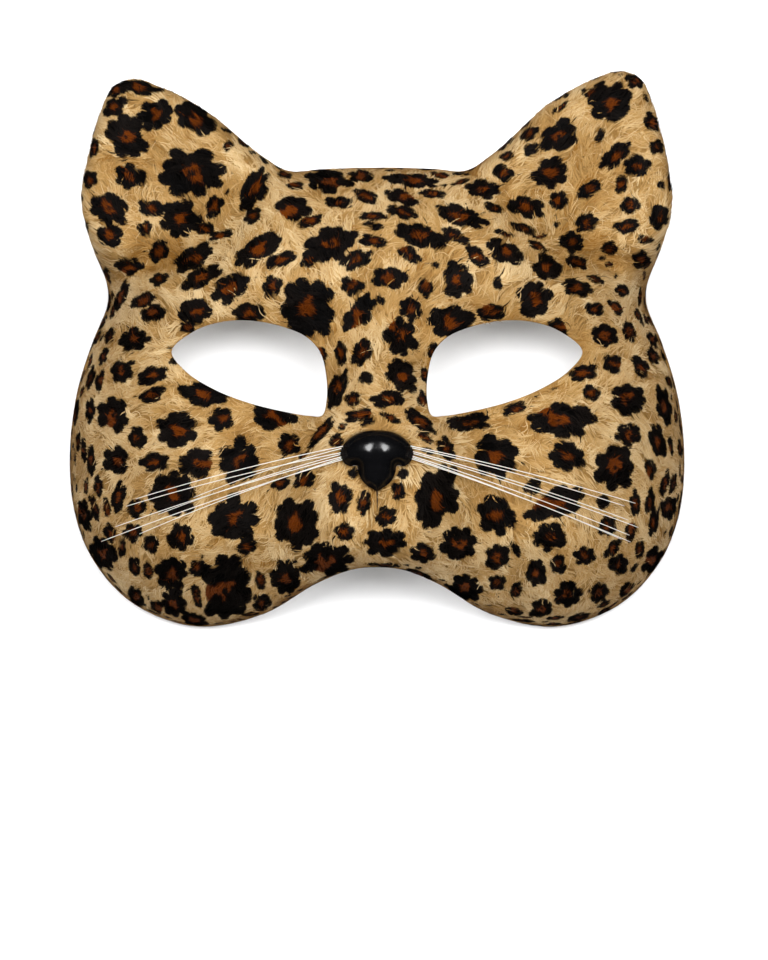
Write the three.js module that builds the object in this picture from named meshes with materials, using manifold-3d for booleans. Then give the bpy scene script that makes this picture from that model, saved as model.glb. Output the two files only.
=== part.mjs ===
// Leopard-print cat half mask, lying face up on its rim.
// Millimetres. +X is to the right of the face as a viewer sees it, +Y towards the ears, +Z out of the
// face. The origin is under the middle of the mask, on the surface that the rim lies on.
import * as THREE from 'three';
import { mergeVertices } from 'three/addons/utils/BufferGeometryUtils.js';
import Module from 'manifold-3d';

const wasm = await Module();
wasm.setup();

// Driving dimensions
const WALL = 2.4; // moulded shell with its fabric
const FACE_HEIGHT = 60; // forehead above the rim's plane
const FACE_WRAP = 14; // how much lower the face's surface is at the temples
const FACE_HALF_WIDTH = 93;
const TOP_RIM = 30; // height of the rim round the ears and the forehead's top
const LIP_RIM = 62; // height of the rim in the middle of the mouth arch
const RIGHT_EAR_RISE = 2.3; // the right ear reaches higher than the left one
const CLEARANCE = 0.3; // between pieces
const WHISKER_RADIUS = 0.25;
const WHISKER_ROOT = { fromNose: 0.4, height: 83.1 };
const WHISKER_LAYER = 0.9; // every second whisker lies this much lower
const WHISKER_SWEEP = 0.42; // how much a whisker drops back for each millimetre outwards
const WHISKER_ARCH = { up: 1.6, forward: 4.5 };
const STRAP_HOLE = { radius: 2, y: -4, z: 8 };

// How far in from the outline the surface turns back, at each part of the mask
const SIDE_ROLL = 42;
const TOP_ROLL = 22;
const CHEEK_ROLL = 27;
const LIP_ROLL = 8;
const EAR_ROLL = 9;

// Gentle hills and hollows of the face, on both sides of its middle: place, radii and rise
const FACE_HILLS = [
  { out: 32, up: 19, rx: 24, ry: 9, rise: 3.5 }, // brow
  { out: 42, up: -4, rx: 26, ry: 13, rise: -5 }, // eye socket
  { out: 52, up: -46, rx: 24, ry: 22, rise: 6 }, // cheek
  { out: 14.5, up: -48, rx: 11, ry: 11, rise: 4.5 }, // muzzle beside the nose
  { out: 0, up: -52, rx: 2.2, ry: 10, rise: -1.6 }, // groove under the nose
];
// Changes in height along +Y: from one height on the face to the other
const FOREHEAD_FALL = { from: 25, to: 58, rise: -9 };
const LIP_FALL = { from: -52, to: -74, rise: -7 };
const SNOUT = { from: 16, to: -27, rise: 23, sharpness: 2.6 };
const SNOUT_HALF_WIDTH = { from: 4, to: -40, narrow: 12.5, wide: 27 };

// An ear's front is a plate with a hollow. It leans back towards its tip.
const EAR_BASE = new THREE.Vector2(56, 30);
const EAR_DIRECTION = new THREE.Vector2(20, 51).normalize();
const EAR_PLATE = 43;
const EAR_LEAN = 0.09;
const EAR_TURN = { slope: 0.32, upTo: 50 }; // its outer corner turns back towards the temple
const EAR_DISH = { out: 0, up: 13, rx: 15, ry: 20, rise: -11 };
const EAR_FADE = { from: -16, to: 10, depth: 34 }; // its foot runs down under the forehead
const EAR_FOLD = 10; // softness of the fold where it meets the forehead
const BEHIND_EAR = 8;

// The nose is a wide dome over a narrower one, on a short upright side
const NOSE_SIDE = 1.2;
const NOSE_ROLL = 1.7; // how far in from its outline the domes turn over
const NOSE_FOLD = 2.5; // softness of the fold between the domes
const NOSE_CAP = { up: -30.2, rx: 11.3, ry: 6.6, rise: 7.6 };
const NOSE_COLUMN = { up: -34, rx: 6.2, ry: 9, rise: 7.8 };
const NOSE_HILLS = [
  { out: 2.8, up: -30, rx: 2.6, ry: 3.2, rise: 0.7 }, // bridge on both sides of the middle
  { out: 6.2, up: -34.2, rx: 1.3, ry: 1.8, rise: -4.2 }, // nostril
];

// Where the top of the rim starts and ends its rise, and where the mouth arch does
const RIM_TOP = { from: 16, to: 40 };
const RIM_LIP = { from: -45, to: -62, halfWidth: 52 };

// Outlines of the right half as [out from the middle, up], from the top round the side
const FOREHEAD_EDGE = [[0, 54.6], [17, 54.2], [26.5, 53.7]];
const EAR_EDGE = [
  [35, 58.6], [51, 71.5], [65, 78.9], [73.2, 81.2], [79.4, 78.4], [83.4, 69.5], [87.3, 54.5],
  [88.5, 44], [85.6, 31],
];
const HEAD_EDGE_BEHIND_EAR = [[44, 51], [61, 43], [74, 32.5]];
const SIDE_EDGE = [
  [81.7, 20], [81.6, 14], [86, 3], [90.7, -12], [93, -31], [91.5, -49], [85.5, -64], [73, -77],
  [54, -83.4], [34, -79.4], [18, -70], [8, -65.9], [0, -65],
];
const EYE_EDGE = [
  [61.2, -0.6], [54.2, 5.4], [46.5, 7.9], [38.5, 8.4], [29, 6.8], [21, 3.5], [16.8, -1.2],
  [15, -8.5], [14.9, -15.5], [16.2, -19.9], [20, -20], [29, -18.4], [39, -15.8], [48.5, -12],
  [57, -6.6],
];
const NOSE_EDGE = [
  [0, -24.3], [5, -25], [8.6, -27.2], [10.8, -30.7], [10, -33.5], [8, -34.9], [5.9, -34.8],
  [5.5, -36.6], [4.5, -38.9], [2.8, -40.7], [1.2, -41.6], [0, -42.3],
];

// Each whisker: its root's height on the nose's flank, and its tip as [out, up], from the top down
const WHISKERS = {
  left: [
    [-29.3, [71.6, -44.6]], [-29.9, [54.3, -44.2]], [-31.1, [74.5, -46.8]], [-31.6, [64.9, -49.2]],
    [-32.4, [77.7, -52.9]], [-32.8, [70.5, -55]], [-33.2, [82, -57.3]],
  ],
  right: [
    [-29.2, [76.8, -45.9]], [-29.7, [73.5, -46.7]], [-30.8, [74.7, -50.9]], [-31.3, [77.7, -53.1]],
    [-32.2, [75, -55.4]], [-32.6, [72.6, -56.6]], [-33, [75.3, -57.4]],
  ],
};

// Mesh density. A ring power above 1 puts the rings closer together at the outline.
const SHELL_MESH = { stepsPerSpan: 3, rings: 12, ringPower: 1.5, centre: new THREE.Vector2(0, -9) };
const NOSE_MESH = { stepsPerSpan: 2, rings: 8, ringPower: 1.3, centre: new THREE.Vector2(0, -32) };
const EYE_STEPS_PER_SPAN = 3;
const MEASURING_STEPS_PER_SPAN = 6;
const WHISKER_SIDES = 5;
const WHISKER_STEPS = 8;

const clamp01 = (t) => Math.min(1, Math.max(0, t));
const mix = (a, b, t) => a + (b - a) * t;

function smoothstep(from, to, value) {
  const t = clamp01((value - from) / (to - from));
  return t * t * (3 - 2 * t);
}

// A quarter circle: 0 at the outline, 1 from t = 1 on
function roll(t) {
  return Math.sqrt(1 - (1 - clamp01(t)) ** 2);
}

// The same, but with a slope that is never steep
function softRoll(t) {
  return 1 - (1 - clamp01(t)) ** 2;
}

function hillHeight(hill, out, up) {
  return hill.rise * Math.exp(-(((out - hill.out) / hill.rx) ** 2) - ((up - hill.up) / hill.ry) ** 2);
}

function sumOfHills(hills, out, up) {
  return hills.reduce((sum, hill) => sum + hillHeight(hill, out, up), 0);
}

function rampHeight(ramp, y) {
  return ramp.rise * smoothstep(ramp.from, ramp.to, y);
}

// The larger of two heights, with a soft fold of the given size between them
function softMax(a, b, size) {
  const near = Math.max(size - Math.abs(a - b), 0) / size;
  return Math.max(a, b) + (near * near * size) / 4;
}

// Points along a closed smooth curve through [x, y] places
function closedCurve(places, stepsPerSpan) {
  const corners = places.map(([x, y]) => new THREE.Vector3(x, y, 0));
  const curve = new THREE.CatmullRomCurve3(corners, true, 'centripetal');
  const count = places.length * stepsPerSpan;
  return Array.from({ length: count }, (_, i) => {
    const point = curve.getPoint(i / count);
    return new THREE.Vector2(point.x, point.y);
  });
}

// A closed curve through a half outline and its mirror image
function mirroredCurve(half, stepsPerSpan, rightRise = 0) {
  const right = half.map(([x, y]) => [x, y + rightRise * smoothstep(50, 80, y)]);
  const left = half.slice(1, -1).reverse().map(([x, y]) => [-x, y]);
  return closedCurve([...right, ...left], stepsPerSpan);
}

// Distance from (x, y) to a closed outline, positive inside it
function insideDistance(outline, x, y) {
  let nearest = Infinity;
  let inside = false;
  outline.forEach((a, i) => {
    const b = outline[(i + 1) % outline.length];
    const dx = b.x - a.x;
    const dy = b.y - a.y;
    const t = clamp01(((x - a.x) * dx + (y - a.y) * dy) / (dx * dx + dy * dy));
    nearest = Math.min(nearest, Math.hypot(x - a.x - t * dx, y - a.y - t * dy));
    if (a.y > y !== b.y > y && x < a.x + ((y - a.y) / dy) * dx) inside = !inside;
  });
  return inside ? nearest : -nearest;
}

const maskHalf = [...FOREHEAD_EDGE, ...EAR_EDGE, ...SIDE_EDGE];
const headHalf = [...FOREHEAD_EDGE, ...HEAD_EDGE_BEHIND_EAR, ...SIDE_EDGE];
const maskEdge = mirroredCurve(maskHalf, MEASURING_STEPS_PER_SPAN, RIGHT_EAR_RISE);
const headEdge = mirroredCurve(headHalf, MEASURING_STEPS_PER_SPAN);
const noseEdge = mirroredCurve(NOSE_EDGE, MEASURING_STEPS_PER_SPAN);

// Height of the rim: 0 at the temples and cheeks, higher at the top and in the mouth arch
function rimHeight(x, y) {
  const top = TOP_RIM * smoothstep(RIM_TOP.from, RIM_TOP.to, y);
  const acrossLip = 1 - smoothstep(0, RIM_LIP.halfWidth, Math.abs(x));
  return top + LIP_RIM * acrossLip * smoothstep(RIM_LIP.from, RIM_LIP.to, y);
}

// The face before its edges turn back: forehead, brows, eye sockets, snout, muzzle and cheeks
function faceForm(x, y) {
  const out = Math.abs(x);
  const wrapped = FACE_HEIGHT - FACE_WRAP * (out / FACE_HALF_WIDTH) ** 2;
  const widening = smoothstep(SNOUT_HALF_WIDTH.from, SNOUT_HALF_WIDTH.to, y);
  const snoutHalf = mix(SNOUT_HALF_WIDTH.narrow, SNOUT_HALF_WIDTH.wide, widening);
  const snout = rampHeight(SNOUT, y) * Math.exp(-((out / snoutHalf) ** SNOUT.sharpness));
  const falls = rampHeight(FOREHEAD_FALL, y) + rampHeight(LIP_FALL, y);
  return wrapped + snout + falls + sumOfHills(FACE_HILLS, out, y);
}

// The front of an ear, in the ear's own directions
function earForm(x, y) {
  const fromBase = new THREE.Vector2(Math.abs(x), y).sub(EAR_BASE);
  const up = fromBase.dot(EAR_DIRECTION);
  const across = fromBase.cross(EAR_DIRECTION);
  const turn = EAR_TURN.slope * Math.max(across, 0) * (1 - smoothstep(0, EAR_TURN.upTo, up));
  const fade = EAR_FADE.depth * (1 - smoothstep(EAR_FADE.from, EAR_FADE.to, up));
  return EAR_PLATE - EAR_LEAN * up - turn - fade + hillHeight(EAR_DISH, across, up);
}

// How far in from the outline the face turns back here
function faceRollWidth(x, y) {
  const out = Math.abs(x);
  const bottom = mix(LIP_ROLL, CHEEK_ROLL, smoothstep(8, 48, out));
  const top = mix(TOP_ROLL, SIDE_ROLL, smoothstep(20, 70, out));
  const upper = mix(SIDE_ROLL, top, smoothstep(0, 30, y));
  const bottomStartsHigher = 30 * (1 - smoothstep(20, 60, out));
  return mix(upper, bottom, smoothstep(-40, -66, y - bottomStartsHigher));
}

// Height of the mask's front
function frontHeight(x, y) {
  const rim = rimHeight(x, y);
  const edgeDistance = insideDistance(maskEdge, x, y);
  const headDistance = insideDistance(headEdge, x, y);
  const behindEar = smoothstep(0, BEHIND_EAR, edgeDistance - headDistance);
  const turned = headDistance / faceRollWidth(x, y);
  const face = rim + (faceForm(x, y) - rim) * mix(roll(turned), softRoll(turned), behindEar);
  const ear = rim + (earForm(x, y) - rim) * roll(edgeDistance / EAR_ROLL);
  const fold = 0.01 + EAR_FOLD * smoothstep(0, EAR_ROLL, edgeDistance);
  return softMax(face, ear, fold);
}

function domeHeight(dome, out, up) {
  return dome.rise * Math.sqrt(Math.max(0, 1 - (out / dome.rx) ** 2 - ((up - dome.up) / dome.ry) ** 2));
}

// Height of the nose's front: a wide cap over a column, with a nostril under each wing
function noseHeight(x, y) {
  const out = Math.abs(x);
  const inward = insideDistance(noseEdge, x, y);
  const domes = softMax(domeHeight(NOSE_CAP, out, y), domeHeight(NOSE_COLUMN, out, y), NOSE_FOLD);
  const hills = sumOfHills(NOSE_HILLS, out, y) * smoothstep(0, NOSE_ROLL, inward);
  return frontHeight(x, y) + NOSE_SIDE + domes * roll(inward / NOSE_ROLL) + hills;
}

// How far out the nose reaches at this height
function noseHalfWidth(y) {
  const level = noseEdge.filter((p) => Math.abs(p.y - y) < 1);
  return Math.max(...level.map((p) => p.x));
}

// Rings of points from a closed curve in to a centre, with the centre last
function ringPoints(outline, { rings, ringPower, centre }) {
  const points = [];
  for (let ring = 0; ring < rings; ring += 1) {
    const inward = (ring / rings) ** ringPower;
    outline.forEach((p) => points.push(p.clone().lerp(centre, inward)));
  }
  points.push(centre.clone());
  return points;
}

// Triangles of a sheet of such rings, each square cut along its shorter diagonal. The outline runs
// clockwise seen from +Z.
function ringTriangles(points, perRing, rings) {
  const triangles = [];
  const centre = perRing * rings;
  for (let ring = 0; ring < rings; ring += 1) {
    for (let i = 0; i < perRing; i += 1) {
      const a = ring * perRing + i;
      const b = ring * perRing + ((i + 1) % perRing);
      const c = b + perRing;
      const d = a + perRing;
      if (ring === rings - 1) {
        triangles.push([b, a, centre]);
      } else if (points[b].distanceTo(points[d]) < points[a].distanceTo(points[c])) {
        triangles.push([b, a, d], [b, d, c]);
      } else {
        triangles.push([b, a, c], [a, d, c]);
      }
    }
  }
  return triangles;
}

function geometryOf(points, triangles) {
  const numbers = points.flatMap((p) => [p.x, p.y, p.z]);
  const geometry = new THREE.BufferGeometry();
  geometry.setAttribute('position', new THREE.Float32BufferAttribute(numbers, 3));
  geometry.setIndex(triangles.flat());
  return geometry;
}

// A closed body from a front and a back sheet of rings that share one layout
function bodyFromSheets(front, back, perRing, rings) {
  const count = front.length;
  const frontTriangles = ringTriangles(front, perRing, rings);
  const backTriangles = frontTriangles.map(([a, b, c]) => [c + count, b + count, a + count]);
  const rimTriangles = [];
  for (let i = 0; i < perRing; i += 1) {
    const next = (i + 1) % perRing;
    rimTriangles.push([i, next, next + count], [i, next + count, i + count]);
  }
  return geometryOf([...front, ...back], [...frontTriangles, ...backTriangles, ...rimTriangles]);
}

function solidOf(geometry) {
  const bare = geometry.clone();
  bare.deleteAttribute('normal');
  bare.deleteAttribute('uv');
  const merged = mergeVertices(bare, 1e-4);
  const mesh = new wasm.Mesh({
    numProp: 3,
    vertProperties: new Float32Array(merged.attributes.position.array),
    triVerts: new Uint32Array(merged.index.array),
  });
  return new wasm.Manifold(mesh);
}

function geometryOfSolid(solid) {
  const mesh = solid.getMesh();
  const geometry = new THREE.BufferGeometry();
  geometry.setAttribute('position', new THREE.BufferAttribute(mesh.vertProperties, 3));
  geometry.setIndex(new THREE.BufferAttribute(mesh.triVerts, 1));
  return geometry;
}

// A straight cutter along +Z through the whole mask, in the outline of one eye
function eyeCutter(side) {
  const outline = closedCurve(EYE_EDGE.map(([x, y]) => [side * x, y]), EYE_STEPS_PER_SPAN);
  const options = { depth: 2 * FACE_HEIGHT, bevelEnabled: false };
  return solidOf(new THREE.ExtrudeGeometry(new THREE.Shape(outline), options));
}

function strapHoleCutter(side) {
  const { radius, y, z } = STRAP_HOLE;
  const geometry = new THREE.CylinderGeometry(radius, radius, 30, 12);
  geometry.rotateZ(Math.PI / 2);
  geometry.translate(side * (FACE_HALF_WIDTH - 5), y, z);
  return solidOf(geometry);
}

function shellSolid() {
  const outline = mirroredCurve(maskHalf, SHELL_MESH.stepsPerSpan, RIGHT_EAR_RISE);
  const onRim = (index) => index < outline.length;
  const front = ringPoints(outline, SHELL_MESH).map((p, i) => {
    const z = onRim(i) ? rimHeight(p.x, p.y) : frontHeight(p.x, p.y);
    return new THREE.Vector3(p.x, p.y, z);
  });
  const sheet = geometryOf(front, ringTriangles(front, outline.length, SHELL_MESH.rings));
  sheet.computeVertexNormals();
  const back = front.map((p, i) => {
    const normal = new THREE.Vector3().fromBufferAttribute(sheet.attributes.normal, i);
    if (onRim(i)) normal.setZ(0).normalize();
    return p.clone().addScaledVector(normal, -WALL);
  });
  const whole = solidOf(bodyFromSheets(front, back, outline.length, SHELL_MESH.rings));
  const cutters = [-1, 1].flatMap((side) => [eyeCutter(side), strapHoleCutter(side)]);
  return cutters.reduce((solid, cutter) => solid.subtract(cutter), whole);
}

// The nose's back follows the snout that it sits on
function noseSolid(shell) {
  const outline = mirroredCurve(NOSE_EDGE, NOSE_MESH.stepsPerSpan);
  const flat = ringPoints(outline, NOSE_MESH);
  const front = flat.map((p) => new THREE.Vector3(p.x, p.y, noseHeight(p.x, p.y)));
  const back = flat.map((p) => new THREE.Vector3(p.x, p.y, frontHeight(p.x, p.y) - WALL / 2));
  const whole = solidOf(bodyFromSheets(front, back, outline.length, NOSE_MESH.rings));
  return whole.subtract(shell.translate([0, 0, CLEARANCE]));
}

// A whisker arches forward and sweeps back over the cheek
function whiskerGeometry(side, rootY, [tipOut, tipY], layer) {
  const rootOut = noseHalfWidth(rootY) + WHISKER_ROOT.fromNose;
  const rootZ = WHISKER_ROOT.height - layer * WHISKER_LAYER;
  const tipZ = rootZ - WHISKER_SWEEP * (tipOut - rootOut);
  const root = new THREE.Vector3(side * rootOut, rootY, rootZ);
  const tip = new THREE.Vector3(side * tipOut, tipY, tipZ);
  const middle = root.clone().lerp(tip, 0.5);
  middle.y += WHISKER_ARCH.up;
  middle.z += WHISKER_ARCH.forward;
  const section = Array.from({ length: WHISKER_SIDES }, (_, i) => {
    const angle = (2 * Math.PI * i) / WHISKER_SIDES;
    return new THREE.Vector2(WHISKER_RADIUS * Math.cos(angle), WHISKER_RADIUS * Math.sin(angle));
  });
  const extrudePath = new THREE.QuadraticBezierCurve3(root, middle, tip);
  return new THREE.ExtrudeGeometry(new THREE.Shape(section), { steps: WHISKER_STEPS, extrudePath });
}

const plush = new THREE.MeshStandardMaterial({ color: 0xb98d52, roughness: 0.95, metalness: 0 });
const blackPlastic = new THREE.MeshStandardMaterial({ color: 0x0b0b0c, roughness: 0.25, metalness: 0 });
const whiteNylon = new THREE.MeshStandardMaterial({ color: 0xeeeae4, roughness: 0.4, metalness: 0 });

const mask = new THREE.Group();

function addPiece(name, geometry, material) {
  const mesh = new THREE.Mesh(geometry, material);
  mesh.name = name;
  mask.add(mesh);
}

const shell = shellSolid();
addPiece('mask_shell', geometryOfSolid(shell), plush);
addPiece('nose', geometryOfSolid(noseSolid(shell)), blackPlastic);
[['left', -1], ['right', 1]].forEach(([name, side]) => {
  WHISKERS[name].forEach(([rootY, tip], i) => {
    addPiece(`whisker_${name}_${i + 1}`, whiskerGeometry(side, rootY, tip, i % 2), whiteNylon);
  });
});

export default mask;
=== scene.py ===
"""Leopard-print cat half mask: plush on a moulded shell, a glossy nose and nylon whiskers.

Lengths are millimetres until a mesh is made. +X is to the right of the face as a viewer sees it, +Y
towards the ears and +Z out of the face.
"""

import math

import bpy
import numpy as np
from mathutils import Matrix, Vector


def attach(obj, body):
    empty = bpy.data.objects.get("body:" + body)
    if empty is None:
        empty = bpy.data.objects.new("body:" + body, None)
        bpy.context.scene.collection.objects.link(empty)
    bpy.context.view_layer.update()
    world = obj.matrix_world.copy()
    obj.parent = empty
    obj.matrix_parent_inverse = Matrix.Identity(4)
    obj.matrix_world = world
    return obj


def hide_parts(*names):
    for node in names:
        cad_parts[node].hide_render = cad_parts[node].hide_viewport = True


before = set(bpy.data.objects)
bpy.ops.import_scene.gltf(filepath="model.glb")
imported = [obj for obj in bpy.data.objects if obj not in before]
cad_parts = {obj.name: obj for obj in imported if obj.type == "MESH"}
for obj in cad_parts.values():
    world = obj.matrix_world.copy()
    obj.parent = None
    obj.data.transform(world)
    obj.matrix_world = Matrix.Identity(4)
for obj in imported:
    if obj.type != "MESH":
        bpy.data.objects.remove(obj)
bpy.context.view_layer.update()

MM = 0.001
SEED = 5
rng = np.random.default_rng(SEED)

# The form, with the same driving dimensions as the solids
FACE_HEIGHT = 60
FACE_WRAP = 14
FACE_HALF_WIDTH = 93
TOP_RIM = 30
LIP_RIM = 62
RIGHT_EAR_RISE = 2.3
STRAP_HOLE = {"radius": 2, "y": -4, "z": 8, "steps": 32, "inset": 5, "reach": 15}
EYE_CUT = (-10, 120)
SIDE_STARTS = 75  # further out than this, only the mask's sides lie as low as the strap holes
ROLL = {"side": 42, "top": 22, "cheek": 27, "lip": 8, "ear": 9}
# Where the roll's width changes, out from the middle or up, and how much higher it does at the lip
ROLL_CHANGE = {
    "lip_to_cheek": (8, 48), "top_to_side": (20, 70), "side_to_top": (0, 30),
    "to_bottom": (-40, -66), "higher": 30, "higher_to_level": (20, 60),
}

# Gentle hills and hollows on both sides of the middle: out, up, rx, ry, rise
FACE_HILLS = [
    (32, 19, 24, 9, 3.5),  # brow
    (42, -4, 26, 13, -5),  # eye socket
    (52, -46, 24, 22, 6),  # cheek
    (14.5, -48, 11, 11, 4.5),  # muzzle beside the nose
    (0, -52, 2.2, 10, -1.6),  # groove under the nose
]
FOREHEAD_FALL = (25, 58, -9)
LIP_FALL = (-52, -74, -7)
SNOUT = {"from": 16, "to": -27, "rise": 23, "sharpness": 2.6}
SNOUT_HALF_WIDTH = {"from": 4, "to": -40, "narrow": 12.5, "wide": 27}

EAR_BASE = (56, 30)
EAR_DIRECTION = np.array([20, 51]) / math.hypot(20, 51)
EAR_PLATE = 43
EAR_LEAN = 0.09
EAR_TURN = {"slope": 0.32, "up_to": 50}
EAR_DISH = (0, 13, 15, 20, -11)
EAR_FADE = {"from": -16, "to": 10, "depth": 34}
EAR_FOLD = 10
BEHIND_EAR = 8

NOSE_SIDE = 1.6
NOSE_ROLL = 3.4
NOSE_FOLD = 1.2
NOSE_CAP = {"up": -29.6, "rx": 11.6, "ry": 7.2, "rise": 7.2}
NOSE_COLUMN = {"up": -29, "rx": 6.6, "ry": 13.6, "rise": 6.5}
NOSE_SHOULDER = (2.2, -31, 1.3, 1.6, 0.12)
NOSTRIL = (6.4, -35.2, 1.5, 2, -2.2)
NOSE_LOWEST = 0.3  # of its side
NOSE_SINK = 1  # how far its back lies under the face's surface
NOSE_STEPS = {"around": 180, "inward": 44, "power": 1.6, "back_every": 4}
NOSE_MIDDLE = np.array([0, -32])

RIM_TOP = (16, 40)
RIM_LIP = {"from": -45, "to": -62, "half_width": 52}

# Outlines of the right half as (out from the middle, up)
FOREHEAD_EDGE = [(0, 54.6), (17, 54.2), (26.5, 53.7)]
EAR_EDGE = [
    (35, 58.6), (51, 71.5), (65, 78.9), (73.2, 81.2), (79.4, 78.4), (83.4, 69.5), (87.3, 54.5),
    (88.5, 44), (85.6, 31),
]
HEAD_EDGE_BEHIND_EAR = [(44, 51), (61, 43), (74, 32.5)]
SIDE_EDGE = [
    (81.7, 20), (81.6, 14), (86, 3), (90.7, -12), (93, -31), (91.5, -49), (85.5, -64), (73, -77),
    (54, -83.4), (34, -79.4), (18, -70), (8, -65.9), (0, -65),
]
EYE_EDGE = [
    (61.2, -0.6), (54.2, 5.4), (46.5, 7.9), (38.5, 8.4), (29, 6.8), (21, 3.5), (16.8, -1.2),
    (15, -8.5), (14.9, -15.5), (16.2, -19.9), (20, -20), (29, -18.4), (39, -15.8), (48.5, -12),
    (57, -6.6),
]
NOSE_EDGE = [
    (0, -24.3), (5, -25), (8.6, -27.2), (10.8, -30.7), (10, -33.5), (8, -34.9), (5.9, -34.8),
    (5.5, -36.6), (4.5, -38.9), (2.8, -40.7), (1.2, -41.6), (0, -42.3),
]

# Each whisker: its root's height beside the nose, and its tip as (out, up)
WHISKERS = {
    "left": [
        (-29.3, (71.6, -44.6)), (-29.9, (54.3, -44.2)), (-31.1, (74.5, -46.8)),
        (-31.6, (64.9, -49.2)), (-32.4, (77.7, -52.9)), (-32.8, (70.5, -55)), (-33.2, (82, -57.3)),
    ],
    "right": [
        (-29.2, (76.8, -45.9)), (-29.7, (73.5, -46.7)), (-30.8, (74.7, -50.9)),
        (-31.3, (77.7, -53.1)), (-32.2, (75, -55.4)), (-32.6, (72.6, -56.6)), (-33, (75.3, -57.4)),
    ],
}
WHISKER_ROOT = {"in_nose": 1.4, "from_nose": 0.4, "height": 83.1}
WHISKER_LAYER = 0.9
WHISKER_SWEEP = 0.42
WHISKER_ARCH = {"up": 1.6, "forward": 4.5}
WHISKER_RADIUS = {"root": 0.14, "tip": 0.1}
WHISKER_STEPS = {"along": 28, "around": 8}

# The fine dark line and the parting of the pile under the nose
PARTING = {"up": (-48.2, -41.8), "half_width": 0.3}
SEAM = {
    "steps": 24, "sway": 0.12, "turn": 2.5, "half_width": (0.02, 0.2), "taper": 0.6, "sink": 0.1,
    "depth": 0.6,
}

# The plush
# How far the fabric's ground lies under the pile's surface: less at the outline than some rings in
GROUND_DEPTH = {"outline": 0.15, "inside": 0.55, "rings": 16}
SHELL_THICKNESS = 1.8
CENTRE = np.array([0, -9])
SKIN_STEPS = {"around": 900, "inward": 200}
COVER_STEPS = {"around": 420, "inward": 84}
LINING_RINGS = 24
CLUMPS = 6500
STRANDS_PER_CLUMP = 12
CLUMP_SPREAD = 1.1
STRAND_LENGTH = (4.4, 7.2)
STRAND_HALF_WIDTH = 0.25
STRAND_STEPS = 12
STRAND_PLACES = np.array([0, 3, 6, 9, 12])  # steps at which a strand's mesh has places
STRAY_PLACES = np.arange(0, 13, 2)
STRAYS = 0.07  # share of long, fine, curly and brighter strands
STRAND_VARIES = {
    "length": (0.75, 1.1), "width": (0.75, 1.3), "clump_lift": (0.6, 1.1), "lift": (0.8, 1.1),
}
STRAY = {"length": 1.2, "width": 0.55, "lift": 0.2}
STRAND_SINK = 0.3  # how far a strand starts under the skin
STRAND_TILT = 0.13
SHORTEST_STRAND = 0.8
FLATTER_SIDES = {"from": 0.5, "to": 0.15, "lift": 0.35}  # by the upward part of the normal
# Spreads of the strands' directions and bends in radians
TURNS = {
    "clump": 0.25, "curl": 0.35, "eddy": 0.4, "eddy_size": 4, "wave": 0.3, "strand": 0.07,
    "bend": 0.08, "stray": 0.6,
}
GATHER = 0.6  # how much the strands of a clump lean to its middle
# How light a strand is, by what it belongs to and along it; the darkening at its root is painted
# shade deep in the pile and the lightening at its tip a painted highlight
LIGHTNESS = {
    "clump": 0.26, "patch": 0.5, "patch_size": 4.5, "strand": 0.1, "stray": 0.45, "other": -0.03,
    "root": -0.4, "tip": 0.2, "limits": (-1.1, 1),
}
GROUND_LIGHTNESS = {"middle": -0.35, "varies": 0.3, "size": 1.4, "shade": 0.85}
BLENDED = {"share": 0.025, "follow": 0.3}  # strands that keep their root's colour for longer
# Which way the pile lies: away from a point on the snout and downward below it, with eddies
FLOW = {
    "from": -24, "down": (4, -30, 0.6), "sink": -0.7, "eddy": 0.75, "eddy_size": 10, "ripple": 0.5,
    "ripple_size": 4,
}
HOLE_MARGIN = 0.12  # strands end this far from a hole's edge
UNDER_NOSE = 0.6  # how far the pile reaches under the nose
CHANGE_PLACES = (0.3, 0.7)  # where a strand's mesh has places between two steps of unlike colours
COLOUR_SHARPNESS = 20
STRAND_FACING = 0.5  # how far a strand is shaded by its own tilt and not by the surface's
FIBRES_APART = 50
# Where the pieces of fur meet
FUR_EDGES = {"ear": (22, 20), "ear_slope": (56, 0.55), "cheek": (44, -2)}

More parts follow.
